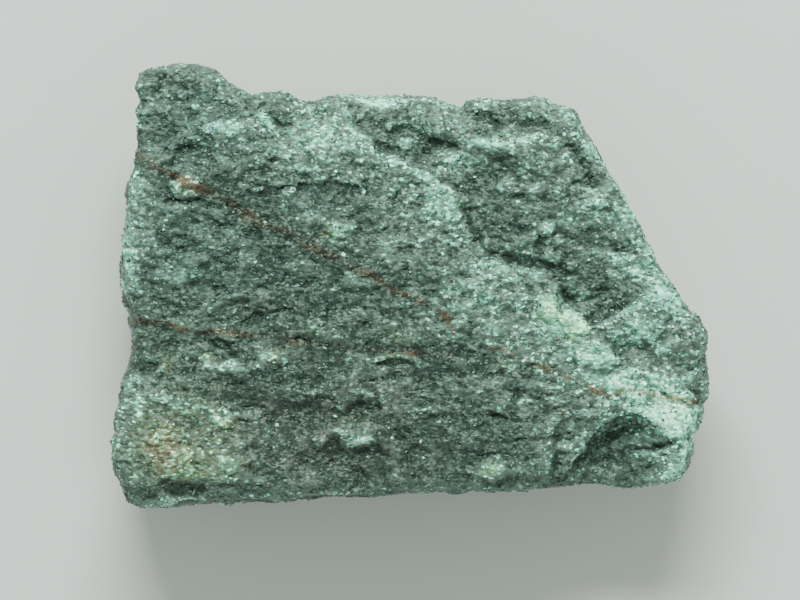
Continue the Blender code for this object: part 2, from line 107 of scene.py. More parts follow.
LEFT_EDGE = (
    (-47.9, -37.3, 1.6), (-49.4, -33.8, 2.6), (-50.6, -31.5, 2.4), (-51.0, -30.0, 1.0),
    (-50.6, -28.0, 0.9), (-49.9, -25.0, 0.9), (-49.6, -22.0, 0.9), (-48.5, -16.0, 1.4),
    (-47.9, -12.5, 1.3), (-47.5, -10.0, 0.9), (-47.9, -6.0, 0.5), (-47.8, -3.2, 1.0),
    (-48.6, -1.8, 1.8), (-49.4, -0.5, 2.0), (-49.8, 2.4, 2.2), (-49.4, 5.5, 1.8),
    (-48.7, 8.0, 1.2), (-48.2, 9.2, 1.0), (-48.0, 14.5, 1.6), (-48.3, 16.3, 1.8),
    (-48.0, 18.0, 1.6), (-47.2, 19.8, 1.2), (-46.4, 21.4, 0.6), (-46.3, 23.0, 0.3),
    (-46.1, 26.2, 0.3), (-46.3, 30.0, 0.3), (-46.0, 34.5, 0.3), (-45.9, 36.9, 0.6),
)
RIGHT_EDGE = (
    (46.4, -34.0, 2.0), (47.2, -33.0, 2.2), (48.0, -31.0, 2.0), (48.5, -28.2, 1.8),
    (48.0, -26.4, 1.4), (49.4, -24.5, 1.2), (49.9, -21.8, 1.0), (49.5, -20.5, 0.9),
    (50.4, -19.0, 1.0), (50.7, -14.4, 1.0), (50.4, -10.6, 1.0), (51.0, -9.2, 1.2),
    (50.6, -8.0, 1.2), (49.7, -6.0, 1.0), (47.9, -4.7, 1.2), (45.4, -0.5, 1.4),
    (42.2, 4.7, 1.0), (40.4, 8.9, 0.9), (37.7, 13.4, 1.1), (34.7, 18.8, 1.6),
    (32.2, 24.2, 2.0), (29.4, 28.0, 1.4), (28.4, 29.9, 1.2),
)

# The widest line round the stone, as a share of the height, and how it wanders with x and y
WIDEST_LEVEL = 0.64
WIDEST_WAVE = 0.13
WIDEST_WAVE_REACH = (17.0, 12.0)

# How far the lower rim is cut in, and its change with x and y, and how late the sides turn in
UNDERCUT = 3.4
UNDERCUT_PER_X = 0.025
UNDERCUT_PER_Y = 0.030
RIM_POWER = 1.5
UNDERCUT_POWER = 1.3

# The crest: left and below it the face stands proud and rolls over towards a groove, and
# beyond the groove lies a lower terrace. All of it dies out towards the right end.
CREST_LINE = (
    (-11.5, 36.0), (-9.6, 30.0), (-8.2, 27.5), (-5.4, 24.2), (0.0, 22.0), (5.0, 19.4),
    (7.6, 17.0), (9.2, 13.8), (10.3, 10.8), (12.0, 7.6), (14.6, 5.2), (19.5, 4.0),
    (23.0, 3.2), (25.6, 1.2), (26.4, -1.2), (28.4, -4.0), (31.0, -6.4), (33.0, -8.8),
    (34.8, -11.0), (36.9, -12.8), (41.0, -14.2), (54.0, -15.5),
)
CREST_ROLL = 1.3
CREST_ROLL_WIDTH = 6.0
GROOVE_DEPTH = 0.5
GROOVE_NEAR_WIDTH = 0.8
GROOVE_FAR_WIDTH = 1.0
TERRACE_DROP = 1.8
CREST_END = (31.0, 42.0)

# The scar of a chip knocked off the lower right corner, shallower towards the right end
SCAR_LINE = (
    (24.2, -38.0), (27.2, -31.6), (30.2, -27.2), (32.4, -24.4), (35.0, -22.0),
    (38.2, -21.2), (42.0, -22.4), (46.0, -25.0), (54.0, -27.0),
)
SCAR_DROP = 3.6
SCAR_WALL = 3.0
SCAR_END = (36.0, 47.0)
SCAR_END_SHARE = 0.25
SCAR_FLOOR_TOP = -24.4
SCAR_FLOOR_FALL = 0.14

# Broad lie of the face: its fall towards the bottom edge, and the steeper fall of its top
# and right margins beyond a line
FALL_TO_BOTTOM = 0.030
TOP_MARGIN_START = 20.0
TOP_MARGIN_FALL = 0.19
RIGHT_MARGIN_START = 38.0
RIGHT_MARGIN_FALL = 0.11
RIM_ROLL = 1.0
RIM_ROLL_WIDTH = 3.0

# Rises and hollows of the face: x, y, half length, half width, turn in degrees, height
RISES = (
    (-17.0, 22.5, 10.0, 4.0, 2.0, 0.9),
    (-12.5, 26.0, 4.2, 3.0, -35.0, 1.0),
    (-24.2, 28.0, 2.2, 1.0, -48.0, 0.7),
    (-33.0, 27.2, 3.4, 1.6, 12.0, 0.7),
    (5.4, 15.0, 2.8, 3.6, 22.0, 0.9),
    (7.2, 22.2, 2.6, 1.5, 25.0, 0.5),
    (-0.6, 20.0, 2.6, 1.6, -12.0, 0.6),
    (13.0, 7.8, 1.3, 1.6, 10.0, 0.2),
    (18.4, 8.4, 3.0, 2.6, -18.0, 0.15),
    (21.4, 6.6, 1.7, 1.9, 30.0, 0.1),
    (24.1, 10.0, 1.5, 1.7, 0.0, 0.2),
    (20.0, 23.2, 8.5, 2.2, 6.0, 1.2),
    (26.4, 18.0, 3.0, 5.5, -28.0, 0.9),
    (31.6, 14.4, 2.6, 3.4, -30.0, 0.8),
    (12.6, 1.6, 4.4, 2.2, 20.0, 1.0),
    (23.6, -3.6, 2.6, 2.4, 0.0, 0.9),
    (27.6, -7.2, 3.0, 2.7, -40.0, 0.7),
    (31.4, -11.4, 4.0, 2.3, -38.0, 0.5),
    (37.0, -7.6, 5.0, 2.2, 15.0, 0.7),
    (43.0, -1.2, 3.6, 1.8, -35.0, 0.9),
    (46.0, -9.8, 2.8, 2.4, 0.0, 0.8),
    (41.0, -17.4, 6.0, 3.0, -4.0, 1.0),
    (-9.6, -25.2, 5.6, 2.3, 6.0, 1.2),
    (-30.6, -21.4, 3.2, 2.2, 8.0, 0.8),
    (-39.0, -28.6, 11.0, 6.4, 0.0, 1.8),
    (14.6, -31.4, 2.6, 1.8, -14.0, 0.7),
    (-34.0, 7.4, 2.2, 2.6, 0.0, 0.6),
    (-1.2, -7.6, 5.0, 2.4, 0.0, 0.5),
)
HOLLOWS = (
    (-4.0, 27.4, 5.0, 3.4, -14.0, -1.8),
    (3.8, 24.6, 4.8, 1.7, 24.0, -0.7),
    (11.2, 19.2, 4.0, 2.2, -24.0, -1.0),
    (13.4, 28.8, 4.0, 1.9, -4.0, -1.2),
    (21.4, 28.2, 3.4, 1.6, 4.0, -1.1),
    (30.4, 21.4, 5.4, 2.0, -60.0, -1.4),
    (13.0, 14.4, 5.0, 3.0, 14.0, -0.8),
    (27.4, -2.6, 1.8, 1.5, -50.0, -0.5),
    (32.8, -1.4, 4.4, 1.9, 4.0, -0.5),
    (38.0, -11.4, 3.0, 1.4, -30.0, -0.3),
    (-9.0, -29.0, 6.4, 2.2, 4.0, -1.2),
    (-22.0, -21.4, 9.0, 2.8, 0.0, -1.5),
    (-28.0, 8.0, 3.4, 1.2, 34.0, -1.0),
    (-12.8, 6.8, 3.0, 1.0, -20.0, -0.8),
    (16.0, -22.6, 4.6, 1.6, 0.0, -1.0),
    (36.4, -23.6, 3.6, 1.8, 12.0, -1.1),
    (-37.0, -35.6, 12.0, 2.0, 0.0, -1.2),
)

# Lumps with flat tops and steep sides, given as the rises are, and the power of the distance
# from the centre that makes them so
LUMPS = (
    (19.0, 6.8, 3.5, 2.7, -8.0, 0.5),
    (13.1, 7.5, 1.0, 1.4, 0.0, 0.8),
    (23.6, 10.0, 1.3, 1.4, 0.0, 0.7),
    (18.8, 14.0, 1.2, 0.9, 0.0, 0.7),
    (19.5, 11.0, 1.1, 0.8, 0.0, 0.5),
    (27.5, 3.5, 1.2, 1.0, 0.0, 0.8),
    (24.2, 5.9, 2.1, 2.2, 0.0, 0.6),
    (16.6, 17.0, 2.1, 1.6, 10.0, 0.8),
    (6.7, 21.9, 1.9, 1.4, 20.0, 0.6),
    (3.9, 22.0, 0.8, 1.1, 0.0, 0.5),
    (-0.7, 24.4, 2.3, 1.8, 20.0, 1.3),
    (-3.0, 27.7, 1.2, 1.0, 0.0, 1.0),
    (-14.8, 22.6, 1.5, 1.7, 0.0, 0.7),
    (28.2, -6.4, 3.1, 2.4, -15.0, 1.2),
    (23.6, -3.9, 2.2, 2.6, 10.0, 1.2),
    (30.8, -11.2, 5.0, 2.4, -22.0, 1.0),
    (49.0, -8.5, 1.4, 1.1, 0.0, 0.7),
    (-9.4, -24.8, 4.4, 2.0, 6.0, 1.0),
    (-31.8, -22.2, 2.0, 2.3, 0.0, 0.8),
    (-27.2, -22.0, 2.4, 0.9, 8.0, 0.7),
    (-30.4, -13.9, 5.0, 0.9, 0.0, 0.7),
    (-34.4, -12.5, 1.3, 0.9, 0.0, 0.5),
    (-37.6, 17.1, 2.6, 2.2, 0.0, 0.6),
    (-24.0, 28.2, 2.4, 0.8, -50.0, 0.6),
    (-32.0, 27.0, 3.2, 1.3, 0.0, 0.6),
    (-20.4, 16.4, 1.1, 0.6, 10.0, 0.5),
    (-17.6, 20.0, 1.5, 0.6, 5.0, 0.5),
    (14.4, -31.4, 1.4, 1.8, 0.0, 0.7),
    (16.2, -13.6, 2.2, 0.8, -32.0, 0.5),
    (-15.0, -7.6, 2.8, 1.8, 0.0, 0.5),
    (-23.4, -11.6, 2.6, 2.0, -10.0, 0.5),
    (3.0, -21.2, 3.4, 0.9, -4.0, 0.4),
    (36.5, -16.2, 2.4, 1.6, 0.0, 0.5),
)
LUMP_POWER = 2.4

# Steps broken across the face, higher on the left of each line as it runs: the height of the
# step, and the line. Then the width of a step's wall, and how far to its left it dies out.
STEPS = (
    (0.9, ((24.2, 26.2), (22.0, 26.4), (20.0, 26.0), (18.0, 25.2), (15.8, 24.6), (12.2, 25.2))),
    (0.9, ((38.8, -2.8), (36.2, -3.8), (34.6, -4.8), (33.0, -6.0), (31.2, -6.6))),
    (0.6, ((9.0, 16.6), (7.0, 17.6), (3.6, 17.6), (2.6, 16.0), (2.8, 11.4))),
    (0.6, ((-15.0, 17.8), (-12.2, 17.9), (-9.6, 17.4))),
    (0.5, ((-24.8, 17.6), (-22.0, 17.0), (-20.0, 17.4))),
    (0.5, ((34.0, -26.8), (31.4, -28.6), (29.4, -31.6))),
    (0.5, ((47.2, -26.4), (44.4, -27.2), (41.2, -28.6), (39.2, -28.4))),
    (0.5, ((26.4, -18.4), (22.4, -19.4), (18.2, -19.2))),
    (0.4, ((8.6, -15.4), (4.2, -16.0), (-0.4, -15.6), (-5.0, -16.4))),
    (0.4, ((-30.4, 6.0), (-26.0, 7.4), (-22.6, 7.2))),
)
STEP_WALL = 0.7
STEP_REACH = 2.6

# Cracks and sharp hollows between the lumps: depth, half width, and the line
CRACKS = (
    (0.5, 0.45, ((16.2, 5.2), (19.5, 4.2), (21.2, 3.7), (23.0, 3.9), (24.6, 2.8), (26.2, 2.2))),
    (0.6, 0.4, ((22.0, 8.6), (22.1, 6.8), (22.0, 4.4))),
    (0.4, 0.6, ((2.3, 22.3), (3.6, 24.6), (6.0, 24.6), (7.6, 23.8))),
    (0.9, 0.7, ((-5.2, 24.8), (-4.0, 23.4), (-2.6, 23.4))),
    (0.5, 0.6, ((-2.4, 26.6), (-0.6, 26.8), (1.8, 25.8))),
    (0.4, 0.5, ((37.6, -8.2), (39.0, -9.0), (40.4, -10.2))),
    (0.5, 0.5, ((28.6, -1.6), (27.0, -2.2), (25.8, -3.8))),
    (0.3, 0.4, ((25.8, -3.6), (25.4, -5.4), (24.8, -8.4), (25.6, -11.4), (28.2, -13.8))),
    (0.25, 0.4, ((25.8, -9.0), (28.6, -9.0), (30.8, -8.6), (31.6, -7.0))),
    (0.8, 0.6, ((-33.0, -16.2), (-30.6, -16.8), (-28.2, -16.6))),
    (0.5, 0.7, ((-13.6, -25.6), (-11.4, -26.8), (-9.4, -28.0), (-5.4, -28.4))),
    (0.7, 0.6, ((-27.6, -6.4), (-26.0, -5.2), (-24.8, -5.0))),
    (0.6, 0.5, ((-33.4, -9.8), (-31.8, -9.4), (-30.8, -10.2))),
    (0.6, 0.4, ((-18.6, -9.0), (-17.0, -9.2), (-15.8, -9.8))),
    (0.35, 0.4, ((-40.4, 14.8), (-37.6, 14.6), (-35.2, 15.2))),
    (0.6, 0.5, ((-5.4, -13.4), (-2.0, -12.9), (0.2, -13.4))),
    (0.7, 0.9, ((26.8, 24.2), (28.8, 22.2), (30.4, 19.6), (31.2, 17.0))),
    (0.8, 0.7, ((11.2, 29.4), (13.8, 28.4), (15.6, 27.2))),
    (0.8, 0.6, ((19.2, 27.6), (20.8, 28.4))),
    (0.3, 0.5, ((13.2, 22.0), (15.4, 21.6), (17.8, 22.2))),
    (0.6, 0.5, ((-22.8, 28.4), (-21.4, 27.4), (-20.4, 27.8))),
    (0.6, 0.5, ((13.8, -22.2), (16.4, -22.8), (17.6, -22.2))),
    (0.7, 0.6, ((46.8, -17.0), (48.4, -18.4), (50.0, -19.0))),
    (0.4, 0.5, ((35.4, -12.2), (36.6, -11.0), (38.4, -11.6))),
    (0.6, 0.5, ((45.0, -26.6), (43.8, -27.6), (42.0, -27.8))),
)

# Heavy blows that trimmed the sides and back: the way each flat scar faces, and its depth
BLOWS = (
    ((-0.86, 0.28, -0.42), 3.4),
    ((-0.76, -0.16, -0.62), 5.0),
    ((-0.64, -0.60, -0.48), 3.8),
    ((-0.20, -0.86, -0.46), 3.0),
    ((0.26, -0.70, -0.66), 5.0),
    ((0.60, -0.62, -0.50), 4.2),
    ((0.90, -0.14, -0.42), 3.6),
    ((0.68, 0.26, -0.68), 5.5),
    ((0.68, 0.60, -0.42), 4.6),
    ((0.14, 0.86, -0.50), 4.0),
    ((-0.26, 0.72, -0.64), 6.0),
    ((-0.60, 0.66, -0.45), 3.8),
)
BLOW_FADE = 0.30

# Facets of the broken surface: cell size, step between neighbours, slope, and hash channel.
# The first three are in the solid as well, some of them weaker, and the fine ones aren't.
# Then how much longer a cell is along the foliation, how sharply its borders turn, and the
# block of cells round a point's own that is searched for the nearest seed.
FACET_SIZES = (
    (15.0, 0.75, 0.085, 11),
    (6.5, 0.40, 0.130, 23),
    (3.4, 0.24, 0.190, 37),
)
FINE_FACET_SIZES = (
    (1.7, 0.13, 0.22, 53),
    (0.85, 0.10, 0.26, 67),
)
FOLIATION_STRETCH = 1.45
BORDER_SHARPNESS = 18.0
NEIGHBOURHOOD = (3, 3, 3)

# The facets are weaker along the widest line and stronger on the trimmed lower sides: change
# of strength, level, and band of levels
FACET_STRENGTH = (
    (-0.75, 0.66, 0.22),
    (0.70, 0.24, 0.20),
)

# The back: how far its rim lifts off the ground, how far its middle would bulge below the
# resting level before that was knocked flat, and how late the lift begins
BACK_RIM_LIFT = 3.0
BACK_BULGE = 1.5
BACK_POWER = 2.6

# Fixed whole numbers that the hash multiplies a cell and a channel by, its rounds of shifting
# and multiplying, and the count of numbers it can give
CELL_FACTORS = (73856093, 19349663, 83492791)
CHANNEL_FACTOR = 668265263
MIXING_ROUNDS = ((15, 224682251), (13, 326648991), (16, 668265263))
LAST_SHIFT = 15
HASH_COUNT = 4294967296

# Paler and darker areas, from the top edge down: partly the rock's own tone, and partly painted
# light and shade, paler where rims and facets face the lamp and darker in hollows, cracks and
# along the bottom edge: x, y, half length, half width, turn, change of tone
PALE_AND_LIT_AREAS = (
    (-40.4, 37.6, 2.2, 0.8, 0.0, 0.26), (-3.2, 35.4, 5.4, 2.6, 15.0, 0.75),
    (-39.8, 33.4, 2.6, 1.3, -25.0, 0.24), (-4.8, 33.0, 3.0, 1.4, 0.0, 0.14),
    (2.5, 32.6, 2.2, 0.8, 0.0, 0.26), (-4.6, 32.2, 3.4, 1.2, 0.0, 0.44),
    (18.0, 31.9, 5.6, 0.7, 0.0, 0.12), (-34.4, 31.6, 2.4, 1.0, 0.0, 0.16),
    (12.0, 31.4, 1.5, 1.3, 0.0, 0.24), (-19.6, 31.0, 1.5, 0.7, 0.0, 0.26),
    (-36.0, 30.0, 11.0, 7.0, 0.0, 0.08), (11.4, 28.6, 1.6, 1.6, 0.0, 0.18),
    (-24.0, 28.2, 2.6, 0.9, -50.0, 0.22), (-22.0, 27.4, 3.0, 1.2, 10.0, 0.12),
    (-22.0, 27.4, 4.0, 1.6, -20.0, 0.10), (-8.6, 27.4, 3.6, 1.0, -58.0, 0.14),
    (-1.0, 27.4, 2.4, 1.2, 0.0, 0.14), (-32.0, 27.2, 3.4, 1.2, 5.0, 0.16),
    (2.0, 27.0, 6.0, 1.2, 0.0, 0.12), (-10.6, 26.4, 3.4, 3.0, -40.0, 0.12),
    (14.5, 26.2, 4.0, 1.2, 25.0, 0.12), (-14.5, 26.0, 8.5, 4.6, -10.0, 0.26),
    (1.6, 25.6, 3.4, 1.3, -20.0, 0.14), (18.0, 25.2, 6.2, 0.9, 6.0, 0.26),
    (-17.8, 25.0, 2.0, 1.8, 0.0, 0.14), (-34.2, 24.6, 1.3, 0.7, 0.0, 0.26),
    (-29.0, 24.5, 1.4, 1.4, 0.0, 0.14), (-6.4, 24.4, 1.2, 1.8, 0.0, 0.14),
    (29.6, 24.4, 1.4, 2.2, 30.0, 0.16), (-18.0, 24.0, 2.0, 1.4, 20.0, 0.18),
    (33.4, 23.8, 4.6, 2.0, -60.0, 0.50), (-2.0, 23.4, 3.0, 1.2, -20.0, 0.20),
    (27.2, 23.4, 2.6, 0.9, -45.0, 0.26), (-42.8, 23.0, 1.9, 1.0, -15.0, 0.24),
    (30.4, 23.0, 1.6, 2.4, 20.0, 0.14), (24.0, 22.4, 4.4, 1.4, 0.0, 0.18),
    (-2.0, 22.0, 3.2, 1.4, -10.0, 0.18), (6.4, 21.8, 2.4, 2.2, 10.0, 0.34),
    (10.2, 21.2, 4.6, 2.6, 0.0, 0.28), (-4.4, 20.2, 1.8, 2.0, 0.0, 0.20),
    (-17.6, 20.0, 1.6, 0.6, 5.0, 0.24), (-39.6, 18.0, 1.6, 1.6, 0.0, 0.12),
    (-3.6, 17.6, 1.6, 2.4, 0.0, 0.12), (0.4, 17.4, 3.0, 1.2, 0.0, 0.22),
    (-37.5, 17.2, 2.6, 2.2, 0.0, 0.16), (-47.0, 17.0, 2.0, 3.0, 0.0, 0.26),
    (-16.4, 16.8, 1.4, 0.9, 0.0, 0.18), (-20.3, 16.4, 1.3, 0.7, 10.0, 0.22),
    (3.2, 16.4, 2.2, 2.0, 0.0, 0.10), (15.4, 16.4, 1.6, 1.2, 0.0, 0.18),
    (24.0, 16.0, 7.0, 5.0, 0.0, 0.08), (5.6, 14.6, 2.8, 4.2, 18.0, 0.26),
    (-43.0, 14.4, 1.4, 0.8, -15.0, 0.22), (39.6, 14.4, 5.0, 1.8, -60.0, 0.40),
    (-43.0, 14.0, 3.6, 1.0, -45.0, 0.12), (-46.4, 13.8, 2.0, 3.0, 0.0, 0.16),
    (3.5, 13.0, 12.0, 4.5, -62.0, 0.14), (9.2, 13.0, 1.3, 2.6, 15.0, 0.12),
    (27.6, 12.6, 1.8, 1.6, 0.0, 0.16), (29.0, 12.6, 1.6, 2.6, 0.0, 0.16),
    (-40.6, 12.0, 1.8, 0.9, -30.0, 0.16), (35.8, 10.6, 17.0, 3.4, -62.0, 0.20),
    (-27.0, 10.2, 2.6, 1.2, 10.0, 0.12), (-18.0, 10.0, 2.6, 1.8, 0.0, 0.14),
    (-27.0, 9.4, 3.0, 0.8, 10.0, 0.14), (10.6, 8.6, 1.4, 1.8, 0.0, 0.20),
    (-12.2, 8.4, 2.2, 1.6, -15.0, 0.26), (-12.0, 8.0, 2.6, 1.4, 0.0, 0.16),
    (18.0, 5.8, 4.0, 1.0, 5.0, 0.16), (19.0, 5.6, 3.6, 1.0, 5.0, 0.22),
    (-47.4, 5.0, 1.8, 4.6, 0.0, 0.30), (29.0, 3.8, 3.0, 1.4, 15.0, 0.12),
    (36.2, 3.6, 2.8, 1.8, -30.0, 0.16), (36.0, 3.2, 3.4, 1.8, -10.0, 0.16),
    (12.4, 2.8, 3.4, 2.6, 10.0, 0.20), (-49.0, 2.2, 1.6, 5.0, 0.0, 0.26),
    (19.5, 2.2, 4.2, 1.6, -10.0, 0.22), (-36.0, 0.8, 2.4, 2.0, 0.0, 0.12),
    (16.0, -2.0, 8.0, 3.6, -15.0, 0.16), (43.4, -2.2, 2.6, 1.8, -30.0, 0.18),
    (42.6, -2.4, 4.4, 2.4, -20.0, 0.16), (43.6, -2.4, 2.4, 1.8, -30.0, 0.14),
    (4.4, -2.6, 2.4, 2.6, 0.0, 0.18), (28.6, -2.8, 4.4, 1.4, 0.0, 0.18),
    (44.6, -2.8, 8.0, 2.6, -50.0, 0.26), (10.4, -3.6, 2.0, 1.2, 0.0, 0.24),
    (2.6, -4.2, 4.4, 1.6, -15.0, 0.16), (23.8, -4.2, 2.8, 2.9, 10.0, 0.38),
    (13.6, -6.4, 13.0, 5.0, -28.0, 0.09), (28.2, -6.6, 3.5, 2.8, -15.0, 0.34),
    (-16.2, -6.8, 3.2, 1.8, 0.0, 0.14), (24.8, -6.8, 2.2, 1.8, -45.0, 0.26),
    (-40.0, -7.6, 3.0, 1.6, 0.0, 0.10), (13.8, -7.6, 1.4, 0.7, 0.0, 0.20),
    (-40.6, -7.8, 3.4, 1.4, -10.0, 0.14), (36.4, -8.0, 4.4, 2.4, 10.0, 0.10),
    (-32.0, -8.4, 2.4, 1.0, 0.0, 0.14), (41.0, -9.0, 2.6, 2.4, 0.0, 0.14),
    (8.2, -9.2, 1.8, 0.9, 0.0, 0.22), (26.0, -9.4, 5.4, 2.8, -50.0, 0.24),
    (38.6, -9.5, 6.0, 3.4, 10.0, 0.22), (15.6, -11.0, 3.4, 1.8, -10.0, 0.20),
    (30.4, -11.0, 5.2, 2.8, -22.0, 0.18), (-23.4, -11.6, 2.6, 2.2, -10.0, 0.18),
    (-3.2, -12.2, 2.4, 1.6, 0.0, 0.16), (14.6, -12.2, 1.8, 1.6, 0.0, 0.12),
    (-4.0, -12.3, 4.0, 0.9, 0.0, 0.16), (-34.4, -12.6, 1.6, 1.0, 0.0, 0.28),
    (-3.0, -12.6, 2.4, 1.0, 0.0, 0.14), (27.0, -12.8, 1.6, 1.2, 0.0, 0.16),
    (-30.2, -13.8, 5.2, 0.8, 0.0, 0.20), (16.2, -13.8, 2.3, 0.8, -32.0, 0.26),
    (-47.6, -14.0, 1.2, 5.6, 12.0, 0.24), (22.4, -14.0, 3.4, 1.6, -15.0, 0.20),
    (24.0, -15.6, 3.4, 1.2, -40.0, 0.16), (30.4, -16.4, 2.0, 0.8, -20.0, 0.14),
    (40.0, -16.6, 11.0, 4.2, -6.0, 0.20), (34.0, -17.0, 5.0, 1.4, -10.0, 0.10),
    (36.0, -18.0, 10.0, 3.5, -20.0, 0.12), (-42.4, -18.4, 2.6, 1.2, -20.0, 0.14),
    (9.0, -18.4, 1.6, 0.8, 0.0, 0.18), (31.6, -18.6, 5.0, 1.4, -12.0, 0.12),
    (-7.8, -19.0, 2.6, 1.8, 0.0, 0.18), (0.0, -21.3, 1.6, 0.8, 0.0, 0.22),
    (-38.4, -21.4, 4.0, 1.2, 0.0, 0.10), (16.0, -21.4, 1.8, 1.0, 0.0, 0.12),
    (45.0, -21.4, 6.6, 4.8, -15.0, 0.52), (-38.6, -21.6, 4.4, 1.3, -20.0, 0.12),
    (-38.0, -22.0, 3.6, 1.2, -20.0, 0.12), (-27.0, -22.0, 2.8, 1.0, 8.0, 0.20),
    (2.0, -22.0, 6.0, 1.4, 0.0, 0.18), (-31.6, -22.4, 2.2, 2.6, 0.0, 0.24),
    (28.0, -22.6, 4.0, 1.4, 0.0, 0.12), (-13.0, -23.0, 2.6, 3.0, 0.0, 0.16),
    (38.2, -23.4, 3.0, 2.0, -20.0, 0.14), (-9.4, -24.4, 4.8, 1.6, 6.0, 0.12),
    (29.8, -25.6, 5.6, 4.0, 35.0, 0.17), (-23.6, -26.4, 2.0, 1.6, 0.0, 0.18),
    (-8.0, -26.6, 2.2, 0.8, 20.0, 0.30), (-9.2, -26.8, 3.8, 1.4, 5.0, 0.44),
    (-40.0, -27.0, 11.0, 6.4, 0.0, 0.20), (-9.4, -27.2, 3.8, 1.5, 5.0, 0.24),
    (32.0, -27.2, 4.0, 2.6, 30.0, 0.14), (42.0, -27.5, 5.5, 4.0, 0.0, 0.18),
    (26.6, -27.6, 2.6, 1.2, 25.0, 0.20), (46.2, -29.0, 2.6, 4.6, -12.0, 0.20),
    (47.6, -29.0, 1.0, 3.4, 0.0, 0.20), (14.4, -30.8, 1.5, 1.6, 0.0, 0.30),
    (16.0, -31.6, 5.0, 1.2, 0.0, 0.12), (-33.6, -31.8, 4.0, 1.8, 0.0, 0.14),
    (45.0, -32.0, 3.4, 1.6, 20.0, 0.20), (-2.2, -32.4, 1.6, 1.0, 40.0, 0.20),
    (-38.0, -33.0, 4.0, 1.2, 0.0, 0.14), (14.8, -33.0, 2.4, 1.2, 0.0, 0.12),
    (-28.6, -33.4, 5.0, 1.3, 0.0, 0.10),
)
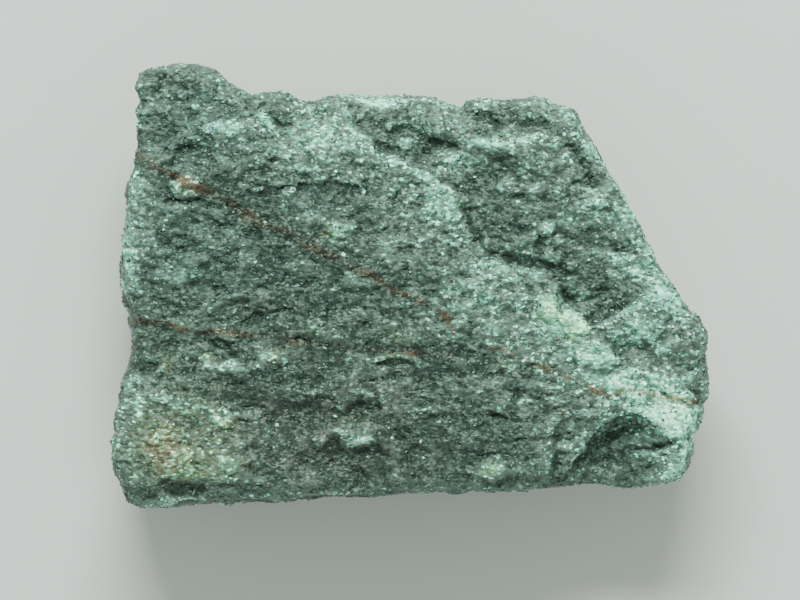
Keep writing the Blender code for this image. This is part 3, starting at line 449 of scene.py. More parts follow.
DARK_AND_SHADED_AREAS = (
    (-41.0, 36.2, 7.0, 1.8, -8.0, -0.28), (-43.4, 35.6, 2.4, 2.0, 0.0, -0.16),
    (-34.8, 34.2, 2.2, 1.2, -20.0, -0.16), (-38.0, 32.0, 9.0, 4.0, 0.0, -0.08),
    (-8.4, 31.6, 2.4, 0.9, 0.0, -0.12), (2.0, 31.4, 2.0, 1.0, 0.0, -0.12),
    (-22.0, 31.2, 7.0, 1.0, 0.0, -0.10), (-18.6, 31.2, 1.8, 1.2, 0.0, -0.14),
    (-8.8, 31.0, 1.8, 0.9, 0.0, -0.16), (19.0, 30.8, 3.0, 1.0, 0.0, -0.12),
    (-1.6, 30.6, 3.0, 1.2, 30.0, -0.20), (-23.4, 30.4, 3.4, 1.2, 0.0, -0.12),
    (-27.0, 29.8, 3.0, 1.4, 10.0, -0.14), (12.2, 29.0, 2.2, 1.2, -10.0, -0.18),
    (-35.0, 28.6, 1.8, 1.0, 0.0, -0.12), (20.4, 28.2, 1.8, 1.2, 0.0, -0.20),
    (-42.6, 28.0, 4.2, 2.8, 0.0, -0.14), (-21.4, 27.9, 1.6, 1.0, 0.0, -0.22),
    (15.0, 27.8, 1.6, 1.6, 0.0, -0.20), (-6.0, 27.4, 3.2, 2.6, -14.0, -0.20),
    (25.6, 26.4, 1.8, 1.6, 0.0, -0.22), (-46.0, 26.2, 0.8, 0.7, 0.0, -0.30),
    (-39.0, 25.8, 5.0, 1.2, 0.0, -0.08), (-42.6, 25.2, 3.0, 1.6, 0.0, -0.08),
    (4.5, 24.4, 4.6, 1.4, 20.0, -0.12), (-31.2, 24.2, 2.6, 1.2, -25.0, -0.18),
    (-4.0, 24.0, 1.4, 1.2, 0.0, -0.20), (-38.4, 23.0, 2.6, 1.8, 0.0, -0.10),
    (15.4, 22.0, 3.4, 1.2, 0.0, -0.12), (30.0, 20.6, 4.2, 1.2, -62.0, -0.24),
    (26.6, 19.8, 2.2, 3.0, 0.0, -0.20), (-31.0, 18.6, 4.4, 1.8, -12.0, -0.10),
    (-22.4, 18.6, 3.6, 1.8, -8.0, -0.12), (-41.2, 17.6, 2.8, 2.0, 0.0, -0.12),
    (-16.2, 17.4, 1.8, 1.8, 0.0, -0.12), (11.0, 17.4, 4.2, 1.8, -20.0, -0.14),
    (33.2, 17.2, 5.5, 1.2, -62.0, -0.30), (-20.2, 16.4, 1.4, 1.8, 0.0, -0.12),
    (-12.6, 16.4, 2.8, 1.5, 0.0, -0.16), (12.4, 16.4, 1.2, 1.4, 0.0, -0.14),
    (23.8, 15.4, 2.0, 1.6, 0.0, -0.20), (24.0, 15.0, 3.4, 2.4, 0.0, -0.08),
    (-37.6, 14.6, 3.0, 0.6, 0.0, -0.18), (36.2, 14.4, 1.6, 2.0, 30.0, -0.20),
    (17.0, 13.6, 1.8, 1.2, 0.0, -0.16), (-5.8, 13.4, 1.6, 3.0, 0.0, -0.12),
    (23.0, 13.2, 1.8, 2.2, 0.0, -0.18), (9.6, 13.0, 1.0, 5.4, 22.0, -0.14),
    (11.4, 12.2, 1.2, 1.4, 0.0, -0.14), (-10.4, 11.8, 1.6, 1.2, 0.0, -0.14),
    (-32.0, 9.8, 2.8, 1.6, 10.0, -0.14), (17.0, 9.2, 4.2, 1.8, -20.0, -0.26),
    (-26.6, 9.0, 3.0, 0.9, 25.0, -0.16), (-25.4, 8.2, 3.2, 1.2, 10.0, -0.08),
    (-46.8, 8.0, 1.8, 2.4, 0.0, -0.14), (-26.0, 7.6, 3.0, 0.8, 15.0, -0.10),
    (6.0, 7.6, 1.4, 5.0, 0.0, -0.10), (24.8, 7.4, 2.2, 1.0, 35.0, -0.20),
    (-13.0, 7.0, 2.6, 0.9, -20.0, -0.12), (38.4, 6.0, 2.4, 1.2, -30.0, -0.10),
    (-20.0, 4.0, 22.0, 12.0, -20.0, -0.07), (21.6, 3.8, 5.4, 0.6, -14.0, -0.10),
    (-31.0, 2.2, 2.4, 1.4, 0.0, -0.10), (-24.0, 2.0, 15.0, 4.0, -15.0, -0.05),
    (7.2, 1.6, 2.4, 2.4, 0.0, -0.14), (29.6, 0.8, 3.0, 1.8, 0.0, -0.16),
    (30.4, 0.6, 2.0, 1.4, 0.0, -0.14), (12.4, -0.6, 1.6, 1.2, 0.0, -0.10),
    (27.0, -1.8, 2.0, 1.1, -30.0, -0.14), (-46.0, -3.0, 1.4, 1.4, 0.0, -0.16),
    (-22.0, -3.0, 3.4, 1.6, 20.0, -0.10), (-10.6, -3.6, 2.0, 1.8, 0.0, -0.12),
    (-36.4, -4.0, 2.2, 1.0, 0.0, -0.12), (-3.6, -4.6, 2.4, 1.4, 0.0, -0.12),
    (32.6, -4.6, 2.2, 1.2, 20.0, -0.12), (-37.0, -5.2, 2.2, 1.4, 0.0, -0.12),
    (-26.4, -5.6, 1.6, 1.2, 10.0, -0.22), (-22.0, -5.6, 8.0, 3.4, -10.0, -0.12),
    (-15.0, -6.0, 2.0, 1.0, 0.0, -0.14), (46.8, -7.2, 2.4, 3.0, 0.0, -0.12),
    (46.6, -8.5, 3.6, 5.0, 0.0, -0.08), (-41.0, -9.0, 5.0, 2.2, 0.0, -0.08),
    (-17.2, -9.3, 1.8, 0.5, -15.0, -0.26), (-32.0, -9.8, 1.6, 1.0, 0.0, -0.18),
    (-24.0, -9.8, 4.8, 1.6, 0.0, -0.16), (-47.0, -10.0, 3.4, 8.0, 0.0, -0.13),
    (-3.0, -10.4, 3.4, 0.8, 0.0, -0.12), (37.2, -11.4, 2.4, 1.5, -20.0, -0.06),
    (-28.4, -12.0, 2.0, 1.6, 0.0, -0.14), (8.0, -12.6, 4.0, 1.8, 0.0, -0.12),
    (8.0, -13.0, 6.0, 1.4, -6.0, -0.10), (33.2, -13.4, 2.6, 1.6, -35.0, -0.18),
    (-30.0, -14.6, 2.5, 2.0, 0.0, -0.10), (5.6, -15.0, 1.6, 2.4, 0.0, -0.08),
    (13.4, -16.0, 2.6, 1.8, -10.0, -0.14), (-29.6, -16.4, 3.0, 1.1, 0.0, -0.22),
    (-1.0, -16.6, 5.4, 1.5, 0.0, -0.14), (-36.0, -17.4, 3.0, 1.0, 0.0, -0.10),
    (49.4, -17.6, 1.3, 1.9, 0.0, -0.22), (-33.4, -18.0, 2.6, 1.8, -30.0, -0.16),
    (-34.8, -18.2, 5.0, 1.6, -10.0, -0.14), (-24.0, -18.4, 4.0, 1.4, 0.0, -0.10),
    (21.0, -20.2, 2.4, 1.6, 0.0, -0.08), (-26.0, -20.6, 3.0, 1.2, 20.0, -0.12),
    (-20.0, -20.6, 7.0, 2.2, 0.0, -0.14), (27.6, -21.2, 2.4, 0.9, -10.0, -0.16),
    (23.0, -21.8, 1.8, 1.4, 0.0, -0.12), (-18.0, -22.4, 5.5, 1.6, -5.0, -0.16),
    (37.0, -22.4, 2.6, 1.0, 0.0, -0.05), (16.2, -22.7, 1.5, 1.0, 0.0, -0.24),
    (-21.6, -22.8, 1.6, 1.4, 0.0, -0.16), (20.0, -23.0, 4.0, 1.6, 0.0, -0.08),
    (-8.0, -23.2, 1.6, 1.6, 0.0, -0.14), (34.6, -23.4, 1.7, 1.4, 20.0, -0.08),
    (22.6, -24.0, 2.4, 1.2, 0.0, -0.10), (-18.0, -24.6, 3.0, 2.6, 0.0, -0.08),
    (0.0, -24.6, 5.0, 1.4, 0.0, -0.12), (-4.0, -25.0, 34.0, 12.0, 0.0, -0.15),
    (2.0, -26.4, 4.0, 1.4, 0.0, -0.10), (-12.6, -26.8, 1.4, 1.0, 0.0, -0.20),
    (-2.8, -26.8, 1.6, 1.4, 0.0, -0.14), (44.4, -27.3, 2.6, 0.7, 10.0, -0.24),
    (-29.6, -27.4, 2.8, 1.6, 0.0, -0.12), (8.0, -27.4, 4.0, 1.6, -10.0, -0.14),
    (-40.0, -28.4, 2.4, 1.6, 0.0, -0.12), (-9.6, -28.4, 5.6, 1.3, 6.0, -0.14),
    (37.6, -28.4, 2.0, 1.2, 0.0, -0.14), (15.0, -28.6, 2.2, 1.4, 0.0, -0.10),
    (29.6, -28.6, 1.5, 8.0, -38.0, -0.12), (43.0, -28.6, 4.0, 1.4, 0.0, -0.14),
    (36.0, -29.5, 5.0, 4.0, 0.0, -0.10), (-7.4, -29.6, 3.4, 0.9, 0.0, -0.16),
    (12.8, -29.6, 2.2, 1.2, 20.0, -0.14), (-6.0, -30.0, 20.0, 3.0, 0.0, -0.07),
    (-14.6, -31.8, 2.2, 1.4, 0.0, -0.16), (8.0, -32.2, 2.4, 1.6, 0.0, -0.12),
    (-48.6, -33.2, 1.8, 2.6, 0.0, -0.18), (-12.0, -33.4, 10.0, 2.2, 0.0, -0.10),
    (17.6, -33.4, 4.0, 1.3, 0.0, -0.16), (28.0, -33.4, 5.0, 1.4, 0.0, -0.10),
    (-8.0, -34.0, 24.0, 1.8, 0.0, -0.14), (-44.0, -34.6, 4.0, 1.6, 0.0, -0.14),
    (-41.0, -35.2, 8.0, 1.8, 0.0, -0.20), (-36.0, -35.6, 11.0, 1.4, 0.0, -0.04),
    (-35.0, -37.6, 5.0, 0.5, 0.0, -0.30),
)

# The areas run down the sides at a slant: how far along x and y for each millimetre below the
# face. Over a band of levels their tone fades there by a share, and the rock turns greyer.
LEAN = (0.50, 0.55)
SIDE_FADE = 0.5
SIDE_FADE_BAND = 0.25
SIDE_GREY = 1.0

# Creamy patches, poor in mica: x, y, half length, half width, turn, strength
CREAM_PATCHES = (
    (-12.5, 9.0, 2.8, 2.2, -20.0, 0.7),
    (-15.5, 2.5, 1.6, 0.9, 0.0, 0.6),
    (-37.4, 17.4, 2.2, 2.2, 0.0, 0.7),
    (-31.6, 26.2, 2.4, 1.2, 0.0, 0.6),
    (-41.6, 35.4, 2.2, 1.0, 0.0, 0.4),
    (-20.2, 30.8, 1.2, 0.7, 0.0, 0.7),
    (-40.6, 11.2, 0.8, 0.6, 0.0, 0.9),
    (-44.0, 21.6, 2.4, 1.0, -15.0, 0.7),
    (-33.0, 7.2, 1.0, 1.8, 0.0, 0.5),
    (-15.6, -7.8, 3.0, 1.8, 0.0, 0.6),
    (-2.0, -8.6, 3.2, 3.2, 0.0, 0.7),
    (-4.0, -12.4, 4.0, 0.9, 0.0, 0.6),
    (-23.0, -11.7, 2.4, 2.0, 0.0, 0.8),
    (-34.2, -12.5, 1.5, 0.9, 0.0, 0.7),
    (-45.6, -7.4, 1.2, 1.2, 0.0, 0.5),
    (-41.0, -13.6, 1.2, 1.4, 0.0, 0.6),
    (-9.0, -23.0, 3.6, 1.2, 10.0, 0.6),
    (-31.4, -23.8, 2.2, 2.0, 0.0, 0.6),
    (14.0, -31.6, 1.6, 2.0, 0.0, 0.9),
    (7.2, -21.2, 2.0, 1.2, 0.0, 0.5),
    (28.5, 12.0, 1.6, 2.0, 0.0, 0.5),
    (23.5, 23.5, 1.6, 1.5, 0.0, 0.5),
    (31.0, 15.6, 1.8, 0.9, 0.0, 0.8),
    (18.0, 25.4, 5.4, 0.8, 6.0, 0.6),
    (11.2, -3.7, 0.9, 0.8, 0.0, 0.7),
    (16.0, -13.4, 2.0, 0.8, -30.0, 0.7),
    (23.6, -3.9, 2.4, 2.7, 10.0, 1.0),
    (7.4, 16.6, 0.8, 4.6, 30.0, 0.6),
    (-41.0, -27.4, 9.6, 6.6, 0.0, 0.8),
    (-36.0, -32.0, 7.0, 2.4, 0.0, 0.5),
    (46.0, -21.6, 5.0, 4.0, 0.0, 0.6),
    (28.2, -6.8, 3.2, 2.5, -15.0, 1.0),
    (29.0, -10.6, 3.2, 2.0, -15.0, 0.4),
    (16.0, 1.0, 5.0, 3.0, -15.0, 0.4),
    (-14.0, 27.0, 6.0, 4.0, -10.0, 0.4),
    (-12.0, -27.0, 34.0, 10.0, 0.0, 0.25),
    (-40.0, -16.0, 9.0, 8.0, 0.0, 0.3),
)

# Parts of the rock that are greyer, given as the creamy patches
GREY_PATCHES = (
    (-18.0, -24.0, 36.0, 15.0, 0.0, 0.85),
    (-7.0, -29.5, 10.0, 4.0, 0.0, 0.30),
    (-21.0, -3.5, 20.0, 5.0, -10.0, 0.40),
    (46.5, -8.0, 4.0, 7.0, 0.0, 0.50),
)

# Parts of the rock that are bluer, given as the creamy patches
TEAL_PATCHES = (
    (-36.0, 27.0, 11.0, 9.0, 0.0, 0.80),
    (-35.0, 5.0, 13.0, 9.0, -20.0, 0.80),
    (-16.0, 16.0, 9.0, 6.0, -15.0, 0.50),
    (43.0, 0.0, 8.0, 5.0, -50.0, 0.60),
    (37.0, -27.0, 7.0, 4.0, 0.0, 0.60),
)

# Rust that crept in along the cracks: lines of points, each an x, a y and a strength
RUST_LINES = (
    (
        (-47.0, 22.4, 0.7), (-45.2, 22.4, 0.7), (-44.6, 21.6, 0.4), (-43.4, 20.8, 0.8),
        (-42.4, 20.1, 0.7), (-41.2, 19.6, 0.8), (-39.8, 18.9, 0.9), (-38.2, 17.8, 0.9),
        (-36.8, 17.4, 1.0), (-35.8, 16.7, 1.0), (-34.6, 16.5, 1.0), (-33.4, 15.8, 0.9),
        (-32.2, 15.2, 0.8), (-30.8, 14.5, 0.9), (-29.6, 13.6, 0.8), (-28.4, 12.6, 0.9),
        (-27.0, 12.1, 1.0), (-25.8, 11.4, 0.9), (-24.6, 10.6, 0.8), (-23.0, 10.2, 1.0),
        (-21.4, 9.5, 0.9), (-19.4, 8.3, 0.9), (-18.0, 7.4, 0.8), (-16.0, 6.2, 0.9),
        (-14.0, 5.3, 0.8), (-12.0, 4.8, 0.8), (-10.0, 3.3, 0.6), (-8.0, 2.6, 0.5),
        (-6.0, 1.8, 0.7), (-4.0, 0.2, 0.5), (-2.0, -1.2, 0.8), (0.0, -1.8, 0.5),
        (2.0, -2.7, 0.6), (4.0, -3.8, 0.4), (6.0, -5.0, 0.6), (8.0, -8.2, 0.4),
    ),
    (
        (12.0, -10.4, 0.2), (14.0, -11.0, 0.5), (15.6, -10.9, 0.5), (17.0, -11.8, 0.4),
        (18.4, -12.6, 0.3), (20.4, -13.4, 0.4), (22.0, -13.9, 0.5), (23.6, -14.3, 0.6),
        (25.2, -14.8, 0.4), (26.8, -15.7, 0.5), (28.6, -16.4, 0.3), (30.8, -17.7, 0.6),
        (32.4, -18.4, 0.5), (34.6, -18.9, 0.4), (36.0, -17.7, 0.5), (38.0, -17.9, 0.4),
        (40.8, -18.7, 0.5), (43.0, -19.2, 0.4), (46.6, -19.6, 0.5), (50.0, -20.2, 0.6),
    ),
    (
        (-49.0, -5.7, 0.8), (-47.6, -5.7, 0.7), (-46.0, -6.0, 0.6), (-44.0, -6.3, 0.7),
        (-41.0, -6.4, 0.7), (-39.6, -7.1, 0.7), (-38.2, -7.4, 0.6), (-36.6, -7.9, 0.4),
        (-35.0, -8.0, 0.5), (-33.2, -7.8, 0.6), (-31.6, -7.8, 0.5), (-30.0, -8.2, 0.5),
        (-28.4, -8.5, 0.6), (-26.8, -8.4, 0.5), (-24.0, -9.0, 0.5), (-14.0, -10.0, 0.5),
        (-11.0, -10.4, 0.6), (-8.0, -10.9, 0.5), (-4.6, -11.0, 0.6), (-2.0, -11.2, 0.4),
        (1.0, -11.5, 0.6), (3.0, -11.6, 0.5), (6.6, -11.9, 0.5), (9.0, -11.9, 0.1),
    ),
)

# A vein of rust and the faint halo round it: strength, half width, and the darkening of each
RUST_STRENGTH = 1.20
RUST_WIDTH = 0.65
RUST_TONE = 0.14
HALO_STRENGTH = 0.50
HALO_WIDTH = 2.5
HALO_TONE = 0.10

# Spots and spreads of rust, given as the creamy patches
RUST_PATCHES = (
    (-42.0, -29.0, 7.0, 5.5, 0.0, 0.72),
    (-43.6, 20.6, 0.6, 0.5, 0.0, 0.6),
    (-27.6, 12.0, 1.6, 1.0, -30.0, 0.35),
    (6.4, -5.4, 1.4, 1.2, -30.0, 0.35),
    (-49.2, -24.9, 0.7, 0.5, 0.0, 1.0),
    (-38.3, -14.2, 0.5, 0.4, 0.0, 1.0),
    (-8.7, -17.0, 0.4, 0.4, 0.0, 1.0),
    (-14.3, -24.8, 0.6, 0.4, 0.0, 1.0),
    (-17.8, -22.5, 0.6, 0.4, 0.0, 0.5),
    (-13.0, -30.1, 0.7, 0.4, 0.0, 1.0),
    (-24.4, -13.2, 1.2, 0.4, 0.0, 0.5),
    (-15.0, -13.1, 0.6, 0.5, 0.0, 0.5),
    (-7.3, -26.0, 0.5, 0.4, 0.0, 1.0),
    (-28.4, -3.2, 0.5, 0.4, 0.0, 1.0),
    (17.2, -12.1, 0.5, 0.4, 0.0, 1.0),
    (16.0, -31.4, 0.6, 0.4, 0.0, 0.5),
    (10.5, 26.5, 0.6, 0.4, 0.0, 1.0),
    (15.5, 29.7, 0.5, 0.4, 0.0, 1.0),
    (25.5, -18.3, 0.4, 0.4, 0.0, 1.0),
    (26.0, -21.9, 0.6, 0.4, 0.0, 1.0),
    (40.6, -24.1, 0.6, 0.5, 0.0, 1.0),
    (42.0, -24.0, 0.5, 0.4, 0.0, 1.0),
    (44.4, -26.6, 0.9, 0.6, 0.0, 0.5),
    (47.0, -31.8, 0.5, 0.8, 0.0, 0.6),
    (45.0, -21.6, 4.4, 3.6, 0.0, 0.26),
    (-10.0, -28.0, 30.0, 8.0, 0.0, 0.14),
)

# The patches of each stain, by its name
STAIN_PATCHES = {
    "teal": TEAL_PATCHES, "grey": GREY_PATCHES, "cream": CREAM_PATCHES, "rust": RUST_PATCHES,
}

# Places of the sheets on the map, as its x range and y range: face, back, then the sides from
# the bottom edge round to the left edge
FACE_MAP = ((0.004, 0.818), (0.385, 0.996))
BACK_MAP = ((0.830, 0.992), (0.390, 0.990))
SIDE_MAPS = (
    ((0.004, 0.590), (0.200, 0.376)),
    ((0.600, 0.996), (0.200, 0.376)),
    ((0.004, 0.590), (0.008, 0.184)),
    ((0.600, 0.996), (0.008, 0.184)),
)

# Tone runs from 0, the shade between grains, to 1.3, bruised white quartz: the places of the
# colours on it, its mean in the rock and in the grains that stand proud, how much the areas and
# each pattern change it, and how the change from grain to grain grows with the area's own tone
TONE_STOPS = (0.0, 0.50, 0.80, 1.05, 1.30)
STONE_TONE = 0.265
PROUD_TONE = 0.32
ZONE_CONTRAST = 1.35
GRAIN_CONTRAST = 0.31
FROST_CONTRAST = 0.80
PROUD_CONTRAST = 0.80
LIVELY_BASE = 0.75
LIVELY_GAIN = 1.6
SUGAR_CONTRAST = 0.58
STREAK_CONTRAST = 0.34
PATCH_CONTRAST = 1.05

# Painted light and shade from the relief: edges and ridges are painted paler as highlight, and
# hollows darker as shade: passes of smoothing, change of tone for each millimetre that a point
# stands out, and the largest change
EDGE_LIGHT_AND_HOLLOW_SHADE = (
    (8, 0.45, 0.10),
    (60, 0.14, 0.08),
)

# Painted light and shade at the listed forms: painted highlight on lumps, painted highlight
# and shade on the two sides of a step, painted shade in cracks, and on the crest a painted
# highlight on its rim and shade in its groove, each with its place and half width
LUMP_HIGHLIGHT = 0.05
STEP_LIGHT_AND_SHADE = 0.24
EDGE_OFFSET = 0.45
EDGE_WIDTH = 0.55
CRACK_SHADE = 0.24
CREST_RIM_HIGHLIGHT = 0.14
CREST_RIM_OFFSET = 1.0
CREST_RIM_WIDTH = 0.6
GROOVE_SHADE = 0.14
GROOVE_SHADE_WIDTH = 0.7

# Sizes of the patterns: sugary mottling in grains, patches and stain speckles in mm, and
# streaks in mm along x, y and z. Then the finer detail of each.
SUGAR_GRAINS = 3.2
PATCH_SIZE = 6.5
SPECKLE_SIZE = 0.8
STREAK_SIZE = (8.0, 2.2, 2.2)
SUGAR_DETAIL = {"Detail": 3.0, "Roughness": 0.5}
PATCH_DETAIL = {"Detail": 4.0, "Roughness": 0.55}
SPECKLE_DETAIL = {"Detail": 3.0, "Roughness": 0.7}
STREAK_DETAIL = {"Detail": 3.0, "Roughness": 0.6}

# How far the patches move the stains, and the powers that make bright grains rare
PATCH_STAIN = 0.8
FROST_POWER = 6.0
PROUD_POWER = 3.0

# Cells of the grain pattern: how softly their colours blend, how much longer they are along
# the foliation, how far their facets tilt, and how deep the rock sinks between them
GRAIN_SOFTNESS = 0.15
GRAIN_STRETCH = 1.5
GRAIN_TILT = 0.35
GRAIN_GAP = 0.12

# How quartz and mica bend light, and the tint of their glints. Then roughness, for grains as
# that of the dullest and the glossiest, and how dark the darkest mica is against its colour.
QUARTZ_IOR = 1.544
MICA_IOR = 1.59
GLINT_COLOUR = "#c4f2da"
ROCK_ROUGHNESS = (0.60, 0.34)
PROUD_ROUGHNESS = (0.50, 0.14)
MICA_ROUGHNESS = 0.24
PAPER_ROUGHNESS = 0.90
DARK_MICA_SHARE = 0.45

# Stains, by the name of their colour and of the value that the mesh holds: the strength that
# starts to show, how fast it shows from there, and how much the speckles break it up
STAINS = (
    ("teal", 0.40, 1.6, 3.0),
    ("grey", 0.40, 1.6, 3.0),
    ("cream", 0.40, 1.6, 3.0),
    ("rust", 0.50, 2.2, 1.9),
)

# Proud grains and mica flakes: the name of each piece, how many it holds, and the number
# that starts its draws. Quartz stands on the face and on the sides, mica on both.
QUARTZ_PIECES = (
    ("quartz_grains_face", 6000, 7),
    ("quartz_grains_sides", 7000, 8),
)
MICA_PIECE = ("mica_flakes", 4000, 19)

# How thickly they are strewn: all of them on the back against the sides, and mica on the
# sides against the face. A triangle belongs to the face or back within the gap of its level.
BACK_SHARE = 0.35
SIDE_MICA_SHARE = 0.8
LEVEL_GAP = 0.001

# Shape of the grains and flakes. Half is the half length, width and height in mm, taper the
# upper ring's share of the lower, slope that of the upper face, and spread the scatter of
# sizes. Lift raises them by a share of the half height, and wander and tilt turn them in and
# out of the surface.
GRAIN_SHAPE = {
    "half": (0.29, 0.16, 0.09), "sides": 5, "taper": 0.60, "slope": 0.30, "spread": 0.25,
    "lift": 0.3, "wander": 0.35, "tilt": 0.25,
}
FLAKE_SHAPE = {
    "half": (0.40, 0.26, 0.025), "sides": 4, "taper": 0.92, "slope": 0.0, "spread": 0.30,
    "lift": 3.0, "wander": 0.35, "tilt": 0.35,
}

# How far a grain's corners stray round it, and the upper ones in and out, its two rings on its
# square of the map, and the room in mm that the stone leaves the grains inside its box
CORNER_WANDER = 0.55
RING_WANDER = 0.30
MAP_RINGS = (0.36, 0.22)
GRAIN_ROOM = 0.12

# Lamps: name, place in metres, width and height, and power in watts. Then what they point
# at, their colour, and the colour and strength of the room's light.
LAMPS = (
    ("key lamp", (-0.05, 0.62, 0.60), (0.50, 0.24), 18.5),
    ("fill lamp", (0.20, -0.90, 0.30), (0.80, 0.40), 5.0),
)
LAMP_TARGET = (0.0, 0.0, 0.02)
LAMP_COLOUR = "#f9fffb"
ROOM_COLOUR = "#dfe6e2"
ROOM_LIGHT = 0.95

# Camera: lens and sensor in mm, how far it sees in metres, width of the picture at its level
# near the stone's face, and where the middle of the picture lies
LENS = 200.0
SENSOR = 36.0
CAMERA_REACH = 100.0
PICTURE_WIDTH = 135.5
PICTURE_LEVEL = 24.0
PICTURE_MIDDLE = (-1.7, -2.35)

# Floor: radii of its rings in metres, and how many points each has
FLOOR_RINGS = (0.1, 0.3, 0.6, 1.2, 2.5, 6.0, 14.0, 30.0)
FLOOR_SPOKES = 96

# Distances in metres between which the paper is painted paler, as painted light where the lamps'
# light falls off, so that it meets the room softly
FLOOR_FADE = (0.5, 2.0)


def linear(hex_colour):
    """An sRGB colour written in hex, as linear red, green, blue and an opaque alpha."""
    channels = [int(hex_colour[k:k + 2], 16) / 255.0 for k in (1, 3, 5)]
    lifted = [c / 12.92 if c <= 0.04045 else ((c + 0.055) / 1.055) ** 2.4 for c in channels]
    return (*lifted, 1.0)


def colour_setting(name, description, hex_colour):
    """A colour that a user would change."""
    return bpy.props.FloatVectorProperty(
        name=name, description=description, subtype="COLOR", size=4, min=0.0, max=1.0,
        default=linear(hex_colour),
    )


class AventurineSizes(bpy.types.PropertyGroup):
    """Sizes that a user would change."""

    length: bpy.props.FloatProperty(
        name="Length", description="Length of the stone along x", unit="LENGTH",
        default=CAD_BOX[1][0] - CAD_BOX[0][0],
    )
    width: bpy.props.FloatProperty(
        name="Width", description="Width of the stone along y", unit="LENGTH",
        default=CAD_BOX[1][1] - CAD_BOX[0][1],
    )
    height: bpy.props.FloatProperty(
        name="Height", description="Height of the stone as it lies", unit="LENGTH",
        default=CAD_BOX[1][2] - CAD_BOX[0][2],
    )
    grain: bpy.props.FloatProperty(
        name="Grain", description="Usual length of a quartz grain", unit="LENGTH",
        default=0.62 * MM,
    )


class AventurineColours(bpy.types.PropertyGroup):
    """Colours that a user would change."""

    shade: colour_setting("Shade", "Darkest green between the grains", "#222c26")
    green: colour_setting("Green", "Usual green of the rock", "#54675b")
    mint: colour_setting("Mint", "Pale green of the clearer quartz", "#65ae92")
    frost: colour_setting("Frost", "Frosted quartz, pale mint", "#88eccc")
    bruise: colour_setting("Bruise", "Bruised white quartz", "#c0ffec")
    cream: colour_setting("Cream", "Patches that are poor in mica", "#626c50")
    teal: colour_setting("Teal", "Rock whose mica is bluer", "#4d6760")
    grey: colour_setting("Grey", "Rock whose mica is greyer", "#5f675d")
    rust: colour_setting("Rust", "Iron stain along the cracks", "#5c4836")
    mica: colour_setting("Mica", "Green mica flakes", "#4a5f54")
    floor: colour_setting("Floor", "Paper under the stone", "#b9bfba")
    # Far Floor is painted light: paler paper where the lamps' light falls off far from the stone
    far_floor: colour_setting("Far Floor", "Paper far from the stone", "#ebece9")


def smooth_rise(value):
    """Ease from 0 to 1 as the value goes from 0 to 1."""
    value = np.clip(value, 0.0, 1.0)
    return value * value * (3.0 - 2.0 * value)


def cell_random(ix, iy, iz, channel):
    """A fixed random number from 0 to 1 for each whole-numbered cell and channel."""
    mixed = np.int64(channel * CHANNEL_FACTOR)
    for steps, factor in zip((ix, iy, iz), CELL_FACTORS):
        mixed = mixed ^ steps.astype(np.int64) * factor
    mixed = mixed % HASH_COUNT
    for shift, factor in MIXING_ROUNDS:
        mixed = ((mixed ^ (mixed >> shift)) * factor) % HASH_COUNT
    return (mixed ^ (mixed >> LAST_SHIFT)) / HASH_COUNT


def facet_relief(points, cell, step, slope, channel):
    """Flat facets: each cell of rock has its own level and slope, met in short steps.

    A point takes the level of its nearest cell seed plus the slope times the way to it, and
    close to a border the neighbouring cells fade in. A cell draws three numbers for its
    seed's place, three for its slope and one for its level.
    """
    scaled = points / (cell * np.array((FOLIATION_STRETCH, 1.0, 1.0)))
    home = np.floor(scaled)
    distances = []
    levels = []
    for offset in np.ndindex(NEIGHBOURHOOD):
        seed_cell = home + np.array(offset) - 1.0
        draws = np.stack([cell_random(*seed_cell.T, channel + k) for k in range(7)], axis=1)
        away = scaled - seed_cell - draws[:, 0:3]
        tilt = 2.0 * draws[:, 3:6] - 1.0
        distances.append(np.linalg.norm(away, axis=1))
        levels.append(step * (2.0 * draws[:, 6] - 1.0) + slope * cell * (away * tilt).sum(axis=1))
    distances = np.array(distances)
    weights = np.exp(-BORDER_SHARPNESS * (distances - distances.min(axis=0)))
    return (weights * np.array(levels)).sum(axis=0) / weights.sum(axis=0)


def widest_level(x, y):
    """Level of the widest line: a wave along x and y about its mean."""
    reach_x, reach_y = WIDEST_WAVE_REACH
    return WIDEST_LEVEL + WIDEST_WAVE * np.sin(x / reach_x + y / reach_y)


def edge_at_level(edge, share, level):
    """Plan of an edge at a share of its length and a level of the height.

    Level 1 is the rim of the face and 0 the lower rim. The edge stands in from the widest
    line by the rim inset above it and by the undercut below it, each with a power of the way.
    """
    table = np.array(edge)
    steps = np.linalg.norm(np.diff(table[:, 0:2], axis=0), axis=1)
    passed = np.append(0.0, np.cumsum(steps)) / steps.sum()
    x, y, rim = (np.interp(share, passed, column) for column in table.T)
    widest = widest_level(x, y)
    above = np.clip((level - widest) / (1.0 - widest), 0.0, 1.0)
    below = np.clip((widest - level) / widest, 0.0, 1.0)
    undercut = UNDERCUT + UNDERCUT_PER_X * x + UNDERCUT_PER_Y * y
    inset = rim * above ** RIM_POWER + undercut * below ** UNDERCUT_POWER
    return np.stack((x, y), axis=1) * (1.0 - inset / np.hypot(x, y))[:, None]


def plan_position(u, v, level):
    """Plan of lattice points: each pair of facing edges is blended, less the corner blend."""
    start = np.zeros_like(u)
    end = np.ones_like(u)
    u_column = u[:, None]
    v_column = v[:, None]
    up = (1.0 - v_column) * edge_at_level(BOTTOM_EDGE, u, level)
    up += v_column * edge_at_level(TOP_EDGE, u, level)
    across = (1.0 - u_column) * edge_at_level(LEFT_EDGE, v, level)
    across += u_column * edge_at_level(RIGHT_EDGE, v, level)
    low = (1.0 - u_column) * edge_at_level(BOTTOM_EDGE, start, level)
    low += u_column * edge_at_level(BOTTOM_EDGE, end, level)
    high = (1.0 - u_column) * edge_at_level(TOP_EDGE, start, level)
    high += u_column * edge_at_level(TOP_EDGE, end, level)
    return up + across - (1.0 - v_column) * low - v_column * high


